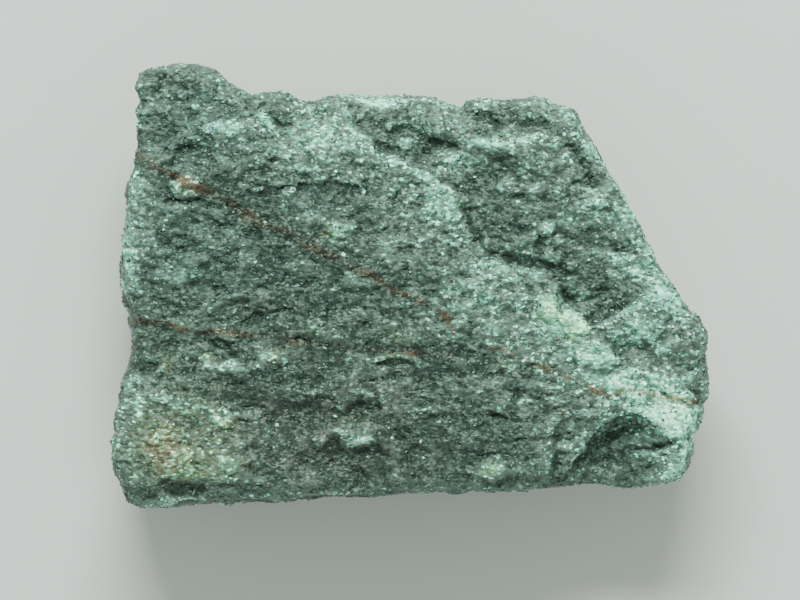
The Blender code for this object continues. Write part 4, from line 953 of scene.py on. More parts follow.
def distance_from_line(x, y, line):
    """Distance from a broken line, counted positive on its left as the line runs."""
    nearest = np.full(x.shape, np.inf)
    signed = np.zeros(x.shape)
    for (ax, ay), (bx, by) in zip(line[:-1], line[1:]):
        run_x, run_y = bx - ax, by - ay
        share = ((x - ax) * run_x + (y - ay) * run_y) / (run_x ** 2 + run_y ** 2)
        share = np.clip(share, 0.0, 1.0)
        away_x, away_y = x - ax - share * run_x, y - ay - share * run_y
        away = np.hypot(away_x, away_y)
        side = np.where(run_x * away_y - run_y * away_x >= 0.0, 1.0, -1.0)
        signed = np.where(away < nearest, side * away, signed)
        nearest = np.minimum(nearest, away)
    return signed


def mound(x, y, centre_x, centre_y, half_length, half_width, turn, height, power=1.0):
    """A turned oval rise: its height times the bell curve of the distance from its centre.

    The squared distance is raised to a power: 1 is rounded, more is flat on top and steep.
    """
    angle = np.radians(turn)
    dx, dy = x - centre_x, y - centre_y
    along = (dx * np.cos(angle) + dy * np.sin(angle)) / half_length
    across = (dy * np.cos(angle) - dx * np.sin(angle)) / half_width
    return height * np.exp(-(along ** 2 + across ** 2) ** power)


def crest_relief(x, y):
    """The roll of the face towards the crest line, the groove there and the terrace beyond."""
    beyond = distance_from_line(x, y, CREST_LINE)
    near = CREST_ROLL * np.exp(-(beyond / CREST_ROLL_WIDTH) ** 2)
    near += GROOVE_DEPTH * np.exp(-(beyond / GROOVE_NEAR_WIDTH) ** 2)
    bottom = CREST_ROLL + GROOVE_DEPTH
    far = TERRACE_DROP + (bottom - TERRACE_DROP) * np.exp(-(beyond / GROOVE_FAR_WIDTH) ** 2)
    start, end = CREST_END
    fading = 1.0 - smooth_rise((x - start) / (end - start))
    return -fading * np.where(beyond > 0.0, far, near)


def scar_relief(x, y):
    """The wall and floor of the chip scar, right of and below its line."""
    inside = smooth_rise(-distance_from_line(x, y, SCAR_LINE) / SCAR_WALL)
    start, end = SCAR_END
    fading = 1.0 - (1.0 - SCAR_END_SHARE) * smooth_rise((x - start) / (end - start))
    floor_fall = SCAR_FLOOR_FALL * np.maximum(SCAR_FLOOR_TOP - y, 0.0)
    return -(SCAR_DROP + floor_fall) * fading * inside


def small_relief(x, y):
    """Rises, hollows, lumps, steps that die out to their left, and cracks."""
    height = sum(mound(x, y, *shape) for shape in RISES + HOLLOWS)
    height = height + sum(mound(x, y, *shape, LUMP_POWER) for shape in LUMPS)
    for step, line in STEPS:
        beyond = distance_from_line(x, y, line)
        wall = smooth_rise(beyond / STEP_WALL + 0.5)
        height += step * wall * np.exp(-(np.maximum(beyond, 0.0) / STEP_REACH) ** 2)
    for depth, half_width, line in CRACKS:
        height -= depth * np.exp(-(distance_from_line(x, y, line) / half_width) ** 2)
    return height


def face_height(x, y, rim_distance):
    """Height of the face: its lie and margins, crest, scar, small relief and rolled rim."""
    height = FACE_LEVEL + FALL_TO_BOTTOM * y
    height -= TOP_MARGIN_FALL * np.maximum(y - TOP_MARGIN_START, 0.0)
    height -= RIGHT_MARGIN_FALL * np.maximum(x - RIGHT_MARGIN_START, 0.0)
    height += crest_relief(x, y) + scar_relief(x, y) + small_relief(x, y)
    return height - RIM_ROLL * np.maximum(1.0 - rim_distance / RIM_ROLL_WIDTH, 0.0) ** 2


def back_height(u, v):
    """Height of the back: a low bulge that rises to the rim by a power of the way out."""
    out = 1.0 - (1.0 - (2.0 * u - 1.0) ** 2) * (1.0 - (2.0 * v - 1.0) ** 2)
    return (BACK_RIM_LIFT + BACK_BULGE) * out ** (0.5 * BACK_POWER) - BACK_BULGE


def stone_position(u, v, level):
    """Place of lattice points: the plan, and a height between the back and the face."""
    plan = plan_position(u, v, level)
    rim_plan = plan_position(u, v, np.ones_like(level))
    width = RIGHT_EDGE[0][0] - LEFT_EDGE[0][0]
    depth = LEFT_EDGE[-1][1] - LEFT_EDGE[0][1]
    rim_distance = np.minimum(width * np.minimum(u, 1.0 - u), depth * np.minimum(v, 1.0 - v))
    face = face_height(rim_plan[:, 0], rim_plan[:, 1], rim_distance)
    back = back_height(u, v)
    return np.column_stack((plan, back + (face - back) * level))


def strike_off(points, level):
    """Flat scars: what stands beyond a scar's plane is moved straight back onto it.

    The widest line and the face above it keep their place.
    """
    struck = smooth_rise((widest_level(points[:, 0], points[:, 1]) - level) / BLOW_FADE)
    for facing, depth in BLOWS:
        normal = np.array(facing) / np.linalg.norm(facing)
        reach = points @ normal
        beyond = struck * np.maximum(reach - (reach.max() - depth), 0.0)
        points = points - beyond[:, None] * normal
    return points


def uneven(shares):
    """Lattice points shifted by a share of a cell, but never off the face, sides and back."""
    strips = np.array((*FACE_CELLS, SIDE_ROWS))
    cells = np.rint(shares * strips)
    draws = [cell_random(*cells.T, LATTICE_CHANNEL + axis) for axis in range(3)]
    shifts = LATTICE_UNEVENNESS * (2.0 * np.stack(draws, axis=1) - 1.0)
    inside = (cells > 0) & (cells < strips)
    return shares + shifts * inside / strips


def outward_directions(points, triangles):
    """Direction out of the surface at each point: the mean of the faces round it, by area."""
    corners = points[triangles]
    across = np.cross(corners[:, 1] - corners[:, 0], corners[:, 2] - corners[:, 0])
    total = np.zeros_like(points)
    for axis in range(3):
        for corner in range(3):
            total[:, axis] += np.bincount(
                triangles[:, corner], weights=across[:, axis], minlength=len(points)
            )
    return total / np.linalg.norm(total, axis=1, keepdims=True)


def broken(points, outward, level):
    """The facets of every size, each moved along the surface's outward direction.

    Their strength is 1, changed by a bell curve of the level about each special one. The
    fine facets are nowhere stronger than 1.
    """
    strength = np.ones_like(level)
    for change, middle, band in FACET_STRENGTH:
        strength += change * np.exp(-((level - middle) / band) ** 2)
    calm = np.minimum(strength, 1.0)
    for sizes, share in ((FACET_SIZES, strength), (FINE_FACET_SIZES, calm)):
        for facets in sizes:
            points = points + outward * (facet_relief(points, *facets) * share)[:, None]
    return points


def prominence(points, triangles, outward, passes):
    """How far each point stands out of its surroundings.

    The surroundings are the points after some passes that each move every point to the mean
    of its neighbours. Ridges and edges come out above 0, and hollows below.
    """
    ahead = triangles[:, (1, 2, 0)].ravel()
    behind = triangles.ravel()
    start = np.concatenate((behind, ahead))
    end = np.concatenate((ahead, behind))
    count = np.bincount(start, minlength=len(points))
    mean = points
    for _ in range(passes):
        sums = [np.bincount(start, column[end], minlength=len(points)) for column in mean.T]
        mean = np.stack(sums, axis=1) / count[:, None]
    return ((points - mean) * outward).sum(axis=1)


def lattice_rim(numbers):
    """Numbers round the border of a grid, anticlockwise from above, from its first corner."""
    return np.concatenate(
        (numbers[:-1, 0], numbers[-1, :-1], numbers[:0:-1, -1], numbers[0, :0:-1])
    )


def grid_shares(cells, level, inset=0.0):
    """Shares of the stone for an even grid at one level, drawn in from the border."""
    along = np.linspace(inset, 1.0 - inset, cells[0] + 1)
    across = np.linspace(inset, 1.0 - inset, cells[1] + 1)
    u, v = np.meshgrid(along, across, indexing="ij")
    return np.column_stack((u.ravel(), v.ravel(), np.full(u.size, level)))


def sheet_quads(numbers, map_x, map_y):
    """Cells of a grid of point numbers as quads, with their corners' places on the map."""
    x, y = np.meshgrid(
        np.linspace(*map_x, numbers.shape[0]), np.linspace(*map_y, numbers.shape[1]),
        indexing="ij",
    )
    places = np.stack((x, y), axis=-1)
    near, far = slice(None, -1), slice(1, None)
    corners = ((near, near), (far, near), (far, far), (near, far))
    quads = np.stack([numbers[corner].ravel() for corner in corners], axis=1)
    return quads, np.stack([places[corner].reshape(-1, 2) for corner in corners], axis=1)


def stitch(outer, inner, shares):
    """Triangles between the lower rim and the back's wider border, four to a wide cell."""
    first = np.arange(0, len(outer), BACK_STEP)
    a = [outer[(first + k) % len(outer)] for k in range(BACK_STEP + 1)]
    b, c = inner, np.roll(inner, -1)
    rows = ((a[0], b, a[1]), (a[1], b, a[2]), (a[2], b, c), (a[2], c, a[3]))
    triangles = np.concatenate([np.stack(row, axis=1) for row in rows])
    inward = (shares[triangles] - BACK_INSET) / (1.0 - 2.0 * BACK_INSET)
    (left, right), (low, high) = BACK_MAP
    places = np.stack(
        (left + (right - left) * inward[:, :, 1], low + (high - low) * inward[:, :, 0]), axis=-1
    )
    return triangles, places


def stone_lattice():
    """The closed surface over the lattice: shares, quads, stitches and their map places.

    The face is an even grid at level 1. Its rim is carried down row by row to level 0, as
    four side sheets. The back is a wider grid at level 0, stitched to the lower rim.
    """
    face = grid_shares(FACE_CELLS, 1.0)
    face_numbers = np.arange(len(face)).reshape(FACE_CELLS[0] + 1, FACE_CELLS[1] + 1)
    rim = lattice_rim(face_numbers)
    levels = np.repeat(1.0 - np.arange(1, SIDE_ROWS + 1) / SIDE_ROWS, len(rim))
    sides = np.column_stack((np.tile(face[rim, 0:2], (SIDE_ROWS, 1)), levels))
    side_numbers = len(face) + np.arange(len(sides)).reshape(SIDE_ROWS, len(rim))
    side_numbers = np.vstack((rim, side_numbers))
    back_cells = (FACE_CELLS[0] // BACK_STEP, FACE_CELLS[1] // BACK_STEP)
    back = grid_shares(back_cells, 0.0, BACK_INSET)
    back_numbers = len(face) + len(sides) + np.arange(len(back))
    back_numbers = back_numbers.reshape(back_cells[0] + 1, back_cells[1] + 1)
    shares = np.vstack((face, sides, back))
    sheets = [sheet_quads(face_numbers, *FACE_MAP)]
    start = 0
    for cells, side_map in zip(FACE_CELLS * 2, SIDE_MAPS):
        columns = np.arange(start, start + cells + 1) % len(rim)
        sheets.append(sheet_quads(side_numbers[::-1, columns].T, *side_map))
        start += cells
    sheets.append(sheet_quads(back_numbers.T, *BACK_MAP))
    stitches = stitch(side_numbers[-1], lattice_rim(back_numbers), shares)
    return shares, sheets, stitches


def halved(quads, places, points):
    """Each quad cut in two triangles along its shorter diagonal."""
    corners = points[quads]
    first = np.linalg.norm(corners[:, 0] - corners[:, 2], axis=1)
    second = np.linalg.norm(corners[:, 1] - corners[:, 3], axis=1)
    picks = np.where(
        (first < second)[:, None], np.array((0, 1, 2, 0, 2, 3)), np.array((0, 1, 3, 1, 2, 3))
    )
    rows = np.arange(len(quads))[:, None]
    return quads[rows, picks].reshape(-1, 3), places[rows, picks].reshape(-1, 3, 2)


def seated(points, size):
    """The back knocked flat at the ground, and the stone brought to its size.

    Room for the grains is left on both sides of it along x and y, and above it.
    """
    points = points.copy()
    points[:, 2] = np.maximum(points[:, 2], 0.0)
    low, high = points.min(axis=0), points.max(axis=0)
    room = np.array(size) - np.array((2.0, 2.0, 1.0)) * GRAIN_ROOM
    points[:, 0:2] -= 0.5 * (low + high)[0:2]
    return points * room / (high - low)


def relief_light_and_shade(x, y):
    """Painted highlights on lumps, step rims and the crest's rim; painted shade below steps, in
    cracks and groove.
    """
    tone = sum(mound(x, y, *lump[0:5], LUMP_HIGHLIGHT, LUMP_POWER) for lump in LUMPS)
    for step, line in STEPS:
        beyond = distance_from_line(x, y, line)
        edge = np.exp(-((np.abs(beyond) - EDGE_OFFSET) / EDGE_WIDTH) ** 2)
        tone = tone + step * edge * np.where(beyond > 0.0, STEP_LIGHT_AND_SHADE, -STEP_LIGHT_AND_SHADE)
    for depth, half_width, line in CRACKS:
        near = distance_from_line(x, y, line) / half_width
        tone = tone - CRACK_SHADE * depth * np.exp(-near ** 2)
    beyond = distance_from_line(x, y, CREST_LINE)
    fading = 1.0 - smooth_rise((x - CREST_END[0]) / (CREST_END[1] - CREST_END[0]))
    rim = CREST_RIM_HIGHLIGHT * np.exp(-((beyond + CREST_RIM_OFFSET) / CREST_RIM_WIDTH) ** 2)
    groove = GROOVE_SHADE * np.exp(-(beyond / GROOVE_SHADE_WIDTH) ** 2)
    return tone + fading * (rim - groove)


def rock_zones(x, y):
    """Tone and stains at places read from above, each a sum over its ovals; the tone is partly
    the rock's own and partly painted light and shade.

    Veins of rust and their halos are bell curves of the distance from a line, times the
    strength that its points give there, and they darken the tone.
    """
    # Painted highlights and shade of the forms, and the pale and dark areas, partly painted light
    # and shade
    tone = relief_light_and_shade(x, y) + sum(mound(x, y, *area) for area in PALE_AND_LIT_AREAS + DARK_AND_SHADED_AREAS)
    stains = {
        name: sum(mound(x, y, *patch) for patch in patches)
        for name, patches in STAIN_PATCHES.items()
    }
    for line in RUST_LINES:
        table = np.array(line)
        near = np.abs(distance_from_line(x, y, table[:, 0:2]))
        strength = np.interp(x, table[:, 0], table[:, 2], left=0.0, right=0.0)
        halo = strength * np.exp(-(near / HALO_WIDTH) ** 2)
        vein = strength * np.exp(-(near / RUST_WIDTH) ** 2)
        stains["rust"] = stains["rust"] + RUST_STRENGTH * vein + HALO_STRENGTH * halo
        tone = tone - RUST_TONE * vein - HALO_TONE * halo
    return {"tone": tone, **{key: np.clip(value, 0.0, 1.0) for key, value in stains.items()}}


def zones_down_the_sides(points, level):
    """The rock's zones at points: read from above on the face, and at a slant on the sides.

    On the way down the sides the tone and the bluer stain fade, and the greyer one grows.
    """
    depth = (1.0 - level) * FACE_LEVEL
    values = rock_zones(points[:, 0] + LEAN[0] * depth, points[:, 1] + LEAN[1] * depth)
    down = smooth_rise((1.0 - level) / SIDE_FADE_BAND)
    values["tone"] *= 1.0 - SIDE_FADE * down
    values["teal"] *= 1.0 - down
    values["grey"] = np.maximum(values["grey"], SIDE_GREY * down)
    return values


def make_piece(name, points, triangles, places, values, material):
    """A mesh piece from arrays: points in mm, triangles, map places and point values."""
    mesh = bpy.data.meshes.new(name)
    mesh.vertices.add(len(points))
    mesh.vertices.foreach_set("co", (points * MM).ravel())
    mesh.loops.add(triangles.size)
    mesh.loops.foreach_set("vertex_index", triangles.ravel())
    mesh.polygons.add(len(triangles))
    mesh.polygons.foreach_set("loop_start", np.arange(0, triangles.size, 3))
    mesh.update(calc_edges=True)
    mesh.shade_flat()
    mesh.uv_layers.new(name=MAP_NAME).data.foreach_set("uv", places.ravel())
    for key, value in values.items():
        mesh.attributes.new(key, "FLOAT", "POINT").data.foreach_set("value", value)
    mesh.materials.append(material)
    piece = bpy.data.objects.new(name, mesh)
    bpy.context.collection.objects.link(piece)
    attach(piece, BODY)
    return piece


def wanted_size():
    """Length, width and height of the stone in millimetres."""
    sizes = bpy.context.scene.aventurine_sizes
    return sizes.length / MM, sizes.width / MM, sizes.height / MM


@functools.lru_cache(maxsize=1)
def stone_surface(size):
    """The stone's surface: points, directions outward, levels, triangles, map and values."""
    shares, sheets, (stitches, stitch_places) = stone_lattice()
    shares = uneven(shares)
    level = shares[:, 2]
    points = stone_position(*shares.T)
    quads = np.concatenate([quad for quad, place in sheets])
    quad_places = np.concatenate([place for quad, place in sheets])
    rough = np.concatenate((quads[:, [0, 1, 2]], quads[:, [0, 2, 3]], stitches))
    outward = outward_directions(points, rough)
    points = broken(strike_off(points, level), outward, level)
    triangles, places = halved(quads, quad_places, points)
    triangles = np.concatenate((triangles, stitches))
    values = zones_down_the_sides(points, level)
    # Painted light and shade from the relief: paler on edges and ridges, darker in hollows
    for passes, per_mm, most in EDGE_LIGHT_AND_HOLLOW_SHADE:
        stands_out = prominence(points, triangles, outward, passes)
        values["tone"] += np.clip(per_mm * stands_out, -most, most)
    return {
        "points": seated(points, size),
        "outward": outward_directions(points, triangles),
        "level": level,
        "triangles": triangles,
        "places": np.concatenate((places, stitch_places)),
        "values": values,
    }


def sheet_densities(surface):
    """Share of grains on each triangle: one row for the face, one for the sides and back."""
    level = surface["level"][surface["triangles"]].mean(axis=1)
    face = (level > 1.0 - LEVEL_GAP).astype(float)
    sides = np.where(level < LEVEL_GAP, BACK_SHARE, 1.0) * (1.0 - face)
    return face, sides


def scattered(surface, wanted, density, rng):
    """Random spots, by area times density: each one's triangle, and its corners' weights."""
    corners = surface["points"][surface["triangles"]]
    area = np.linalg.norm(
        np.cross(corners[:, 1] - corners[:, 0], corners[:, 2] - corners[:, 0]), axis=1
    )
    passed = np.cumsum(area * density)
    picked = np.searchsorted(passed, rng.random(wanted) * passed[-1])
    first, second = rng.random((2, wanted))
    root = np.sqrt(first)
    weights = np.stack((1.0 - root, root * (1.0 - second), root * second), axis=1)
    return surface["triangles"][picked], weights


def grain_corners(rng, count, half, sides, taper, slope, spread):
    """Corners of small prisms about the origin: a lower ring, and a narrower tilted one.

    A ring's corners lie on an oval at uneven angles, and the upper ring's height is that of
    a plane with a random slope.
    """
    sizes = np.array(half) * np.exp(spread * rng.standard_normal((count, 3)))
    turns = np.arange(sides) + CORNER_WANDER * (rng.random((count, sides)) - 0.5)
    angle = 2.0 * np.pi * turns / sides + 2.0 * np.pi * rng.random((count, 1))
    ring = np.stack((np.cos(angle), np.sin(angle)), axis=2) * sizes[:, None, 0:2]
    upper = ring * (taper + RING_WANDER * (rng.random((count, sides, 1)) - 0.5))
    tilt = slope * rng.standard_normal((count, 2))
    height = sizes[:, 2:3] + (upper * tilt[:, None, :]).sum(axis=2)
    lower = np.dstack((ring, np.repeat(-sizes[:, 2:3], sides, axis=1)))
    return np.concatenate((lower, np.dstack((upper, height))), axis=1)


def prism_triangles(sides):
    """Faces of a closed prism whose lower ring of corners comes first, facing outwards."""
    k = np.arange(sides)
    after = (k + 1) % sides
    walls = [(k, after, after + sides), (k, after + sides, k + sides)]
    fan = np.arange(1, sides - 1)
    caps = [(0 * fan, fan + 1, fan), (0 * fan + sides, fan + sides, fan + 1 + sides)]
    return np.concatenate([np.stack(row, axis=1) for row in walls + caps])


def grain_places(count, sides):
    """Map places of prisms' corners: each prism fills its own small square of the map."""
    across = int(np.ceil(np.sqrt(count)))
    number = np.arange(count)
    middle = np.stack((number % across, number // across), axis=1) + 0.5
    angle = 2.0 * np.pi * np.arange(sides) / sides
    ring = np.stack((np.cos(angle), np.sin(angle)), axis=1)
    spread = np.concatenate([radius * ring for radius in MAP_RINGS])
    return (middle[:, None, :] + spread[None, :, :]) / across


def laid_on_surface(surface, corners, spots, weights, lift, wander, tilt, rng):
    """Prisms' corners carried to spots on the surface, long side along the foliation.

    The long axis is the foliation's direction laid into the surface and turned a little, and
    the upright axis is the direction outward, tilted a little.
    """
    count = len(corners)
    centre = (surface["points"][spots] * weights[:, :, None]).sum(axis=1)
    upright = (surface["outward"][spots] * weights[:, :, None]).sum(axis=1)
    upright = upright + tilt * rng.standard_normal((count, 3))
    upright /= np.linalg.norm(upright, axis=1, keepdims=True)
    along = np.array((1.0, 0.0, 0.0)) + wander * rng.standard_normal((count, 3))
    along -= (along * upright).sum(axis=1, keepdims=True) * upright
    along /= np.linalg.norm(along, axis=1, keepdims=True)
    axes = np.stack((along, np.cross(upright, along), upright), axis=1)
    centre = centre + lift[:, None] * upright
    return centre[:, None, :] + corners @ axes


def add_grains(surface, name, wanted, seed, density, shape, material):
    """A piece of many small prisms scattered over the stone, kept inside the solid's box."""
    rng = np.random.default_rng(seed)
    spots, weights = scattered(surface, wanted, density, rng)
    sides = shape["sides"]
    corners = grain_corners(
        rng, wanted, shape["half"], sides, shape["taper"], shape["slope"], shape["spread"]
    )
    lift = shape["lift"] * shape["half"][2] * rng.random(wanted)
    corners = laid_on_surface(
        surface, corners, spots, weights, lift, shape["wander"], shape["tilt"], rng
    )
    points = corners.reshape(-1, 3)
    low, high = np.array(CAD_BOX[0]) / MM, np.array(CAD_BOX[1]) / MM
    points = np.clip(points, low, high)
    values = {
        key: (value[spots] * weights).sum(axis=1) for key, value in surface["values"].items()
    }
    values["grain"] = rng.random(wanted)
    values["shine"] = rng.random(wanted)
    values = {key: np.repeat(value, 2 * sides) for key, value in values.items()}
    faces = prism_triangles(sides)
    steps = 2 * sides * np.arange(wanted)
    triangles = (steps[:, None, None] + faces[None, :, :]).reshape(-1, 3)
    places = grain_places(wanted, sides).reshape(-1, 2)[triangles]
    return make_piece(name, points, triangles, places, values, material)


def add_node(tree, kind, inputs=None, stops=None, **settings):
    """Add a node: its settings, its inputs as links or values, and a ramp's stops."""
    node = tree.nodes.new(kind)
    for key, value in settings.items():
        setattr(node, key, value)
    for key, value in (inputs or {}).items():
        if isinstance(value, bpy.types.NodeSocket):
            tree.links.new(value, node.inputs[key])
        else:
            node.inputs[key].default_value = value
    if stops:
        ramp = node.color_ramp
        for place, colour in stops[1:-1]:
            ramp.elements.new(place).color = colour
        for element, (place, colour) in zip(ramp.elements, stops):
            element.position = place
            element.color = colour
    return node


def rock_places(tree):
    """Object coordinates in millimetres."""
    coordinates = add_node(tree, "ShaderNodeTexCoord")
    return add_node(
        tree, "ShaderNodeVectorMath", {0: coordinates.outputs["Object"], "Scale": 1.0 / MM},
        operation="SCALE",
    ).outputs[0]


def weighted_sum(tree, start, terms):
    """Start plus each socket's distance from a half, times its weight."""
    total = start
    for socket, weight in terms:
        term = add_node(
            tree, "ShaderNodeMath", {0: socket, 1: weight, 2: -0.5 * weight},
            operation="MULTIPLY_ADD",
        ).outputs[0]
        total = add_node(tree, "ShaderNodeMath", {0: term, 1: total}).outputs[0]
    return total


def streaks_and_patches(tree, places):
    """Broad mottling of the rock, and streaks drawn out along the foliation."""
    patches = add_node(
        tree, "ShaderNodeTexNoise",
        {"Vector": places, "Scale": 1.0 / PATCH_SIZE, **PATCH_DETAIL},
    ).outputs["Fac"]
    drawn_out = add_node(
        tree, "ShaderNodeMapping",
        {"Vector": places, "Scale": [1.0 / size for size in STREAK_SIZE]},
    ).outputs["Vector"]
    streaks = add_node(
        tree, "ShaderNodeTexNoise", {"Vector": drawn_out, "Scale": 1.0, **STREAK_DETAIL}
    ).outputs["Fac"]
    return streaks, patches


def grain_tone(tree, draw, power, contrast, terms=()):
    """Change of tone from grain to grain, with the mean 0, stronger where the rock is paler.

    A draw from 0 to 1 is raised to a power, so that bright grains are rare. The mean of
    that is 1 / (1 + power), and the start of the sum takes it away again.
    """
    bright = add_node(tree, "ShaderNodeMath", {0: draw, 1: power}, operation="POWER").outputs[0]
    start = contrast * (0.5 - 1.0 / (1.0 + power))
    change = weighted_sum(tree, start, [*terms, (bright, contrast)])
    zone = add_node(tree, "ShaderNodeAttribute", attribute_name="tone").outputs["Fac"]
    gain = add_node(
        tree, "ShaderNodeMath", {0: zone, 1: LIVELY_GAIN, 2: LIVELY_BASE},
        operation="MULTIPLY_ADD",
    ).outputs[0]
    return add_node(
        tree, "ShaderNodeMath", {0: change, 1: gain}, operation="MULTIPLY"
    ).outputs[0]


def rock_colour(tree, places, base, grains, terms=()):
    """Colour of the rock: greens over the tone, then the stains.

    The tone is the base, the zone's own, the patterns' weighted terms and the grains'.
    """
    colours = bpy.context.scene.aventurine_colours
    streaks, patches = streaks_and_patches(tree, places)
    terms = [*terms, (streaks, STREAK_CONTRAST), (patches, PATCH_CONTRAST)]
    zone = add_node(tree, "ShaderNodeAttribute", attribute_name="tone").outputs["Fac"]
    start = add_node(
        tree, "ShaderNodeMath", {0: zone, 1: ZONE_CONTRAST, 2: base}, operation="MULTIPLY_ADD"
    ).outputs[0]
    tone = weighted_sum(tree, start, terms)
    tone = add_node(tree, "ShaderNodeMath", {0: tone, 1: grains}).outputs[0]
    share = add_node(
        tree, "ShaderNodeMath", {0: tone, 1: TONE_STOPS[-1]}, operation="DIVIDE"
    ).outputs[0]
    greens = add_node(
        tree, "ShaderNodeValToRGB", {"Fac": share},
        stops=[
            (stop / TONE_STOPS[-1], getattr(colours, name))
            for stop, name in zip(TONE_STOPS, ("shade", "green", "mint", "frost", "bruise"))
        ],
    ).outputs["Color"]
    return stained(tree, places, greens, patches)


def stained(tree, places, greens, patches):
    """The greens under each stain in turn: times the stain's colour over the usual green.

    A stain's strength is the mesh's value, broken up by speckles and moved by the patches.
    It shows from its start on, by how sharp it is.
    """
    colours = bpy.context.scene.aventurine_colours
    speckle = add_node(
        tree, "ShaderNodeTexNoise",
        {"Vector": places, "Scale": 1.0 / SPECKLE_SIZE, **SPECKLE_DETAIL},
    ).outputs["Fac"]
    colour = greens
    for name, start, sharp, broken_up in STAINS:
        hue = getattr(colours, name)
        ratio = [s / g for s, g in zip(hue[0:3], colours.green[0:3])]
        tinted = add_node(
            tree, "ShaderNodeVectorMath", {0: greens, 1: ratio}, operation="MULTIPLY"
        ).outputs[0]
        value = add_node(tree, "ShaderNodeAttribute", attribute_name=name).outputs["Fac"]
        patchy = [(speckle, broken_up), (patches, PATCH_STAIN)]
        factor = add_node(
            tree, "ShaderNodeMath",
            {0: weighted_sum(tree, value, patchy), 1: sharp, 2: -start * sharp},
            operation="MULTIPLY_ADD", use_clamp=True,
        ).outputs[0]
        colour = add_node(
            tree, "ShaderNodeMix", {"Factor": factor, "A": colour, "B": tinted},
            data_type="RGBA",
        ).outputs["Result"]
    return colour


def new_material(name):
    """An empty node material with its Principled shader."""
    material = bpy.data.materials.new(name)
    material.use_nodes = True
    return material.node_tree, material.node_tree.nodes["Principled BSDF"], material


def grain_pattern(tree, places, grain):
    """Cells as large as grains, longer along the foliation: their draws and their height.

    The draws are a soft one, that blends from cell to cell, and three sharp ones. The height
    is a facet, which is the way from the cell's seed times the cell's own random slope, less
    the distance from the seed times the gap.
    """
    scale = (1.0 / grain, GRAIN_STRETCH / grain, GRAIN_STRETCH / grain)
    squeezed = add_node(tree, "ShaderNodeMapping", {"Vector": places, "Scale": scale}).outputs[0]
    soft = add_node(
        tree, "ShaderNodeTexVoronoi",
        {"Vector": squeezed, "Scale": 1.0, "Smoothness": GRAIN_SOFTNESS}, feature="SMOOTH_F1",
    )
    sharp = add_node(tree, "ShaderNodeTexVoronoi", {"Vector": squeezed, "Scale": 1.0})
    soft_draws, draws = [
        add_node(tree, "ShaderNodeSeparateColor", {"Color": cells.outputs["Color"]}).outputs
        for cells in (soft, sharp)
    ]
    away = add_node(
        tree, "ShaderNodeVectorMath", {0: squeezed, 1: sharp.outputs["Position"]},
        operation="SUBTRACT",
    ).outputs[0]
    slope = add_node(
        tree, "ShaderNodeVectorMath", {0: sharp.outputs["Color"], 1: (0.5, 0.5, 0.5)},
        operation="SUBTRACT",
    ).outputs[0]
    facet = add_node(
        tree, "ShaderNodeVectorMath", {0: away, 1: slope}, operation="DOT_PRODUCT"
    ).outputs["Value"]
    sunk = add_node(
        tree, "ShaderNodeMath", {0: sharp.outputs["Distance"], 1: -GRAIN_GAP},
        operation="MULTIPLY",
    ).outputs[0]
    height = add_node(
        tree, "ShaderNodeMath", {0: facet, 1: 2.0 * GRAIN_TILT, 2: sunk},
        operation="MULTIPLY_ADD",
    ).outputs[0]
    return soft_draws["Red"], draws, height


def finish_quartz(tree, shader, colour, draw, roughness):
    """Quartz's colour and glints on a shader: a draw sets how dull or glossy each grain is."""
    dull, glossy = roughness
    gloss = add_node(
        tree, "ShaderNodeMapRange", {"Value": draw, "To Min": dull, "To Max": glossy}
    ).outputs["Result"]
    tree.links.new(colour, shader.inputs["Base Color"])
    tree.links.new(gloss, shader.inputs["Roughness"])
    shader.inputs["IOR"].default_value = QUARTZ_IOR
    shader.inputs["Specular Tint"].default_value = linear(GLINT_COLOUR)


def stone_material():
    """Quartzite broken by hammer: interlocked grains, each with its own lightness and gloss.

    The eye sees salt and pepper: clear grains look dark, bruised ones white.
    """
    tree, shader, material = new_material("green quartzite, broken by hammer")
    places = rock_places(tree)
    grain = bpy.context.scene.aventurine_sizes.grain / MM
    soft_draw, draws, height = grain_pattern(tree, places, grain)
    sugar = add_node(
        tree, "ShaderNodeTexNoise",
        {"Vector": places, "Scale": 1.0 / (SUGAR_GRAINS * grain), **SUGAR_DETAIL},
    ).outputs["Fac"]
    grains = grain_tone(
        tree, draws["Blue"], FROST_POWER, FROST_CONTRAST, [(soft_draw, GRAIN_CONTRAST)]
    )
    colour = rock_colour(tree, places, STONE_TONE, grains, [(sugar, SUGAR_CONTRAST)])
    finish_quartz(tree, shader, colour, draws["Green"], ROCK_ROUGHNESS)
    bump = add_node(
        tree, "ShaderNodeBump", {"Height": height, "Strength": 1.0, "Distance": grain * MM}
    )
    tree.links.new(bump.outputs["Normal"], shader.inputs["Normal"])
    return material


def grain_material():
    """Quartz grains, freshly parted: paler than the rock between them, with bright faces."""
    tree, shader, material = new_material("quartz grains, freshly parted")
    draw, shine = [
        add_node(tree, "ShaderNodeAttribute", attribute_name=name).outputs["Fac"]
        for name in ("grain", "shine")
    ]
    grains = grain_tone(tree, draw, PROUD_POWER, PROUD_CONTRAST)
    colour = rock_colour(tree, rock_places(tree), PROUD_TONE, grains)
    finish_quartz(tree, shader, colour, shine, PROUD_ROUGHNESS)
    return material


def mica_material():
    """Fuchsite mica, cleaved: thin green plates that flash where they face the lamp."""
    tree, shader, material = new_material("green mica, cleaved")
    pale = bpy.context.scene.aventurine_colours.mica
    dark = [DARK_MICA_SHARE * channel for channel in pale[0:3]] + [1.0]
    draw = add_node(tree, "ShaderNodeAttribute", attribute_name="grain").outputs["Fac"]
    colour = add_node(
        tree, "ShaderNodeMix", {"Factor": draw, "A": dark, "B": pale}, data_type="RGBA"
    ).outputs["Result"]
    tree.links.new(colour, shader.inputs["Base Color"])
    shader.inputs["Roughness"].default_value = MICA_ROUGHNESS
    shader.inputs["IOR"].default_value = MICA_IOR
    shader.inputs["Specular Tint"].default_value = linear(GLINT_COLOUR)
    return material


def aim(place, target):
    """Turn that points an object's -Z from its place to a target."""
    away = Vector(place) - Vector(target)
    return away.to_track_quat("Z", "Y").to_euler()


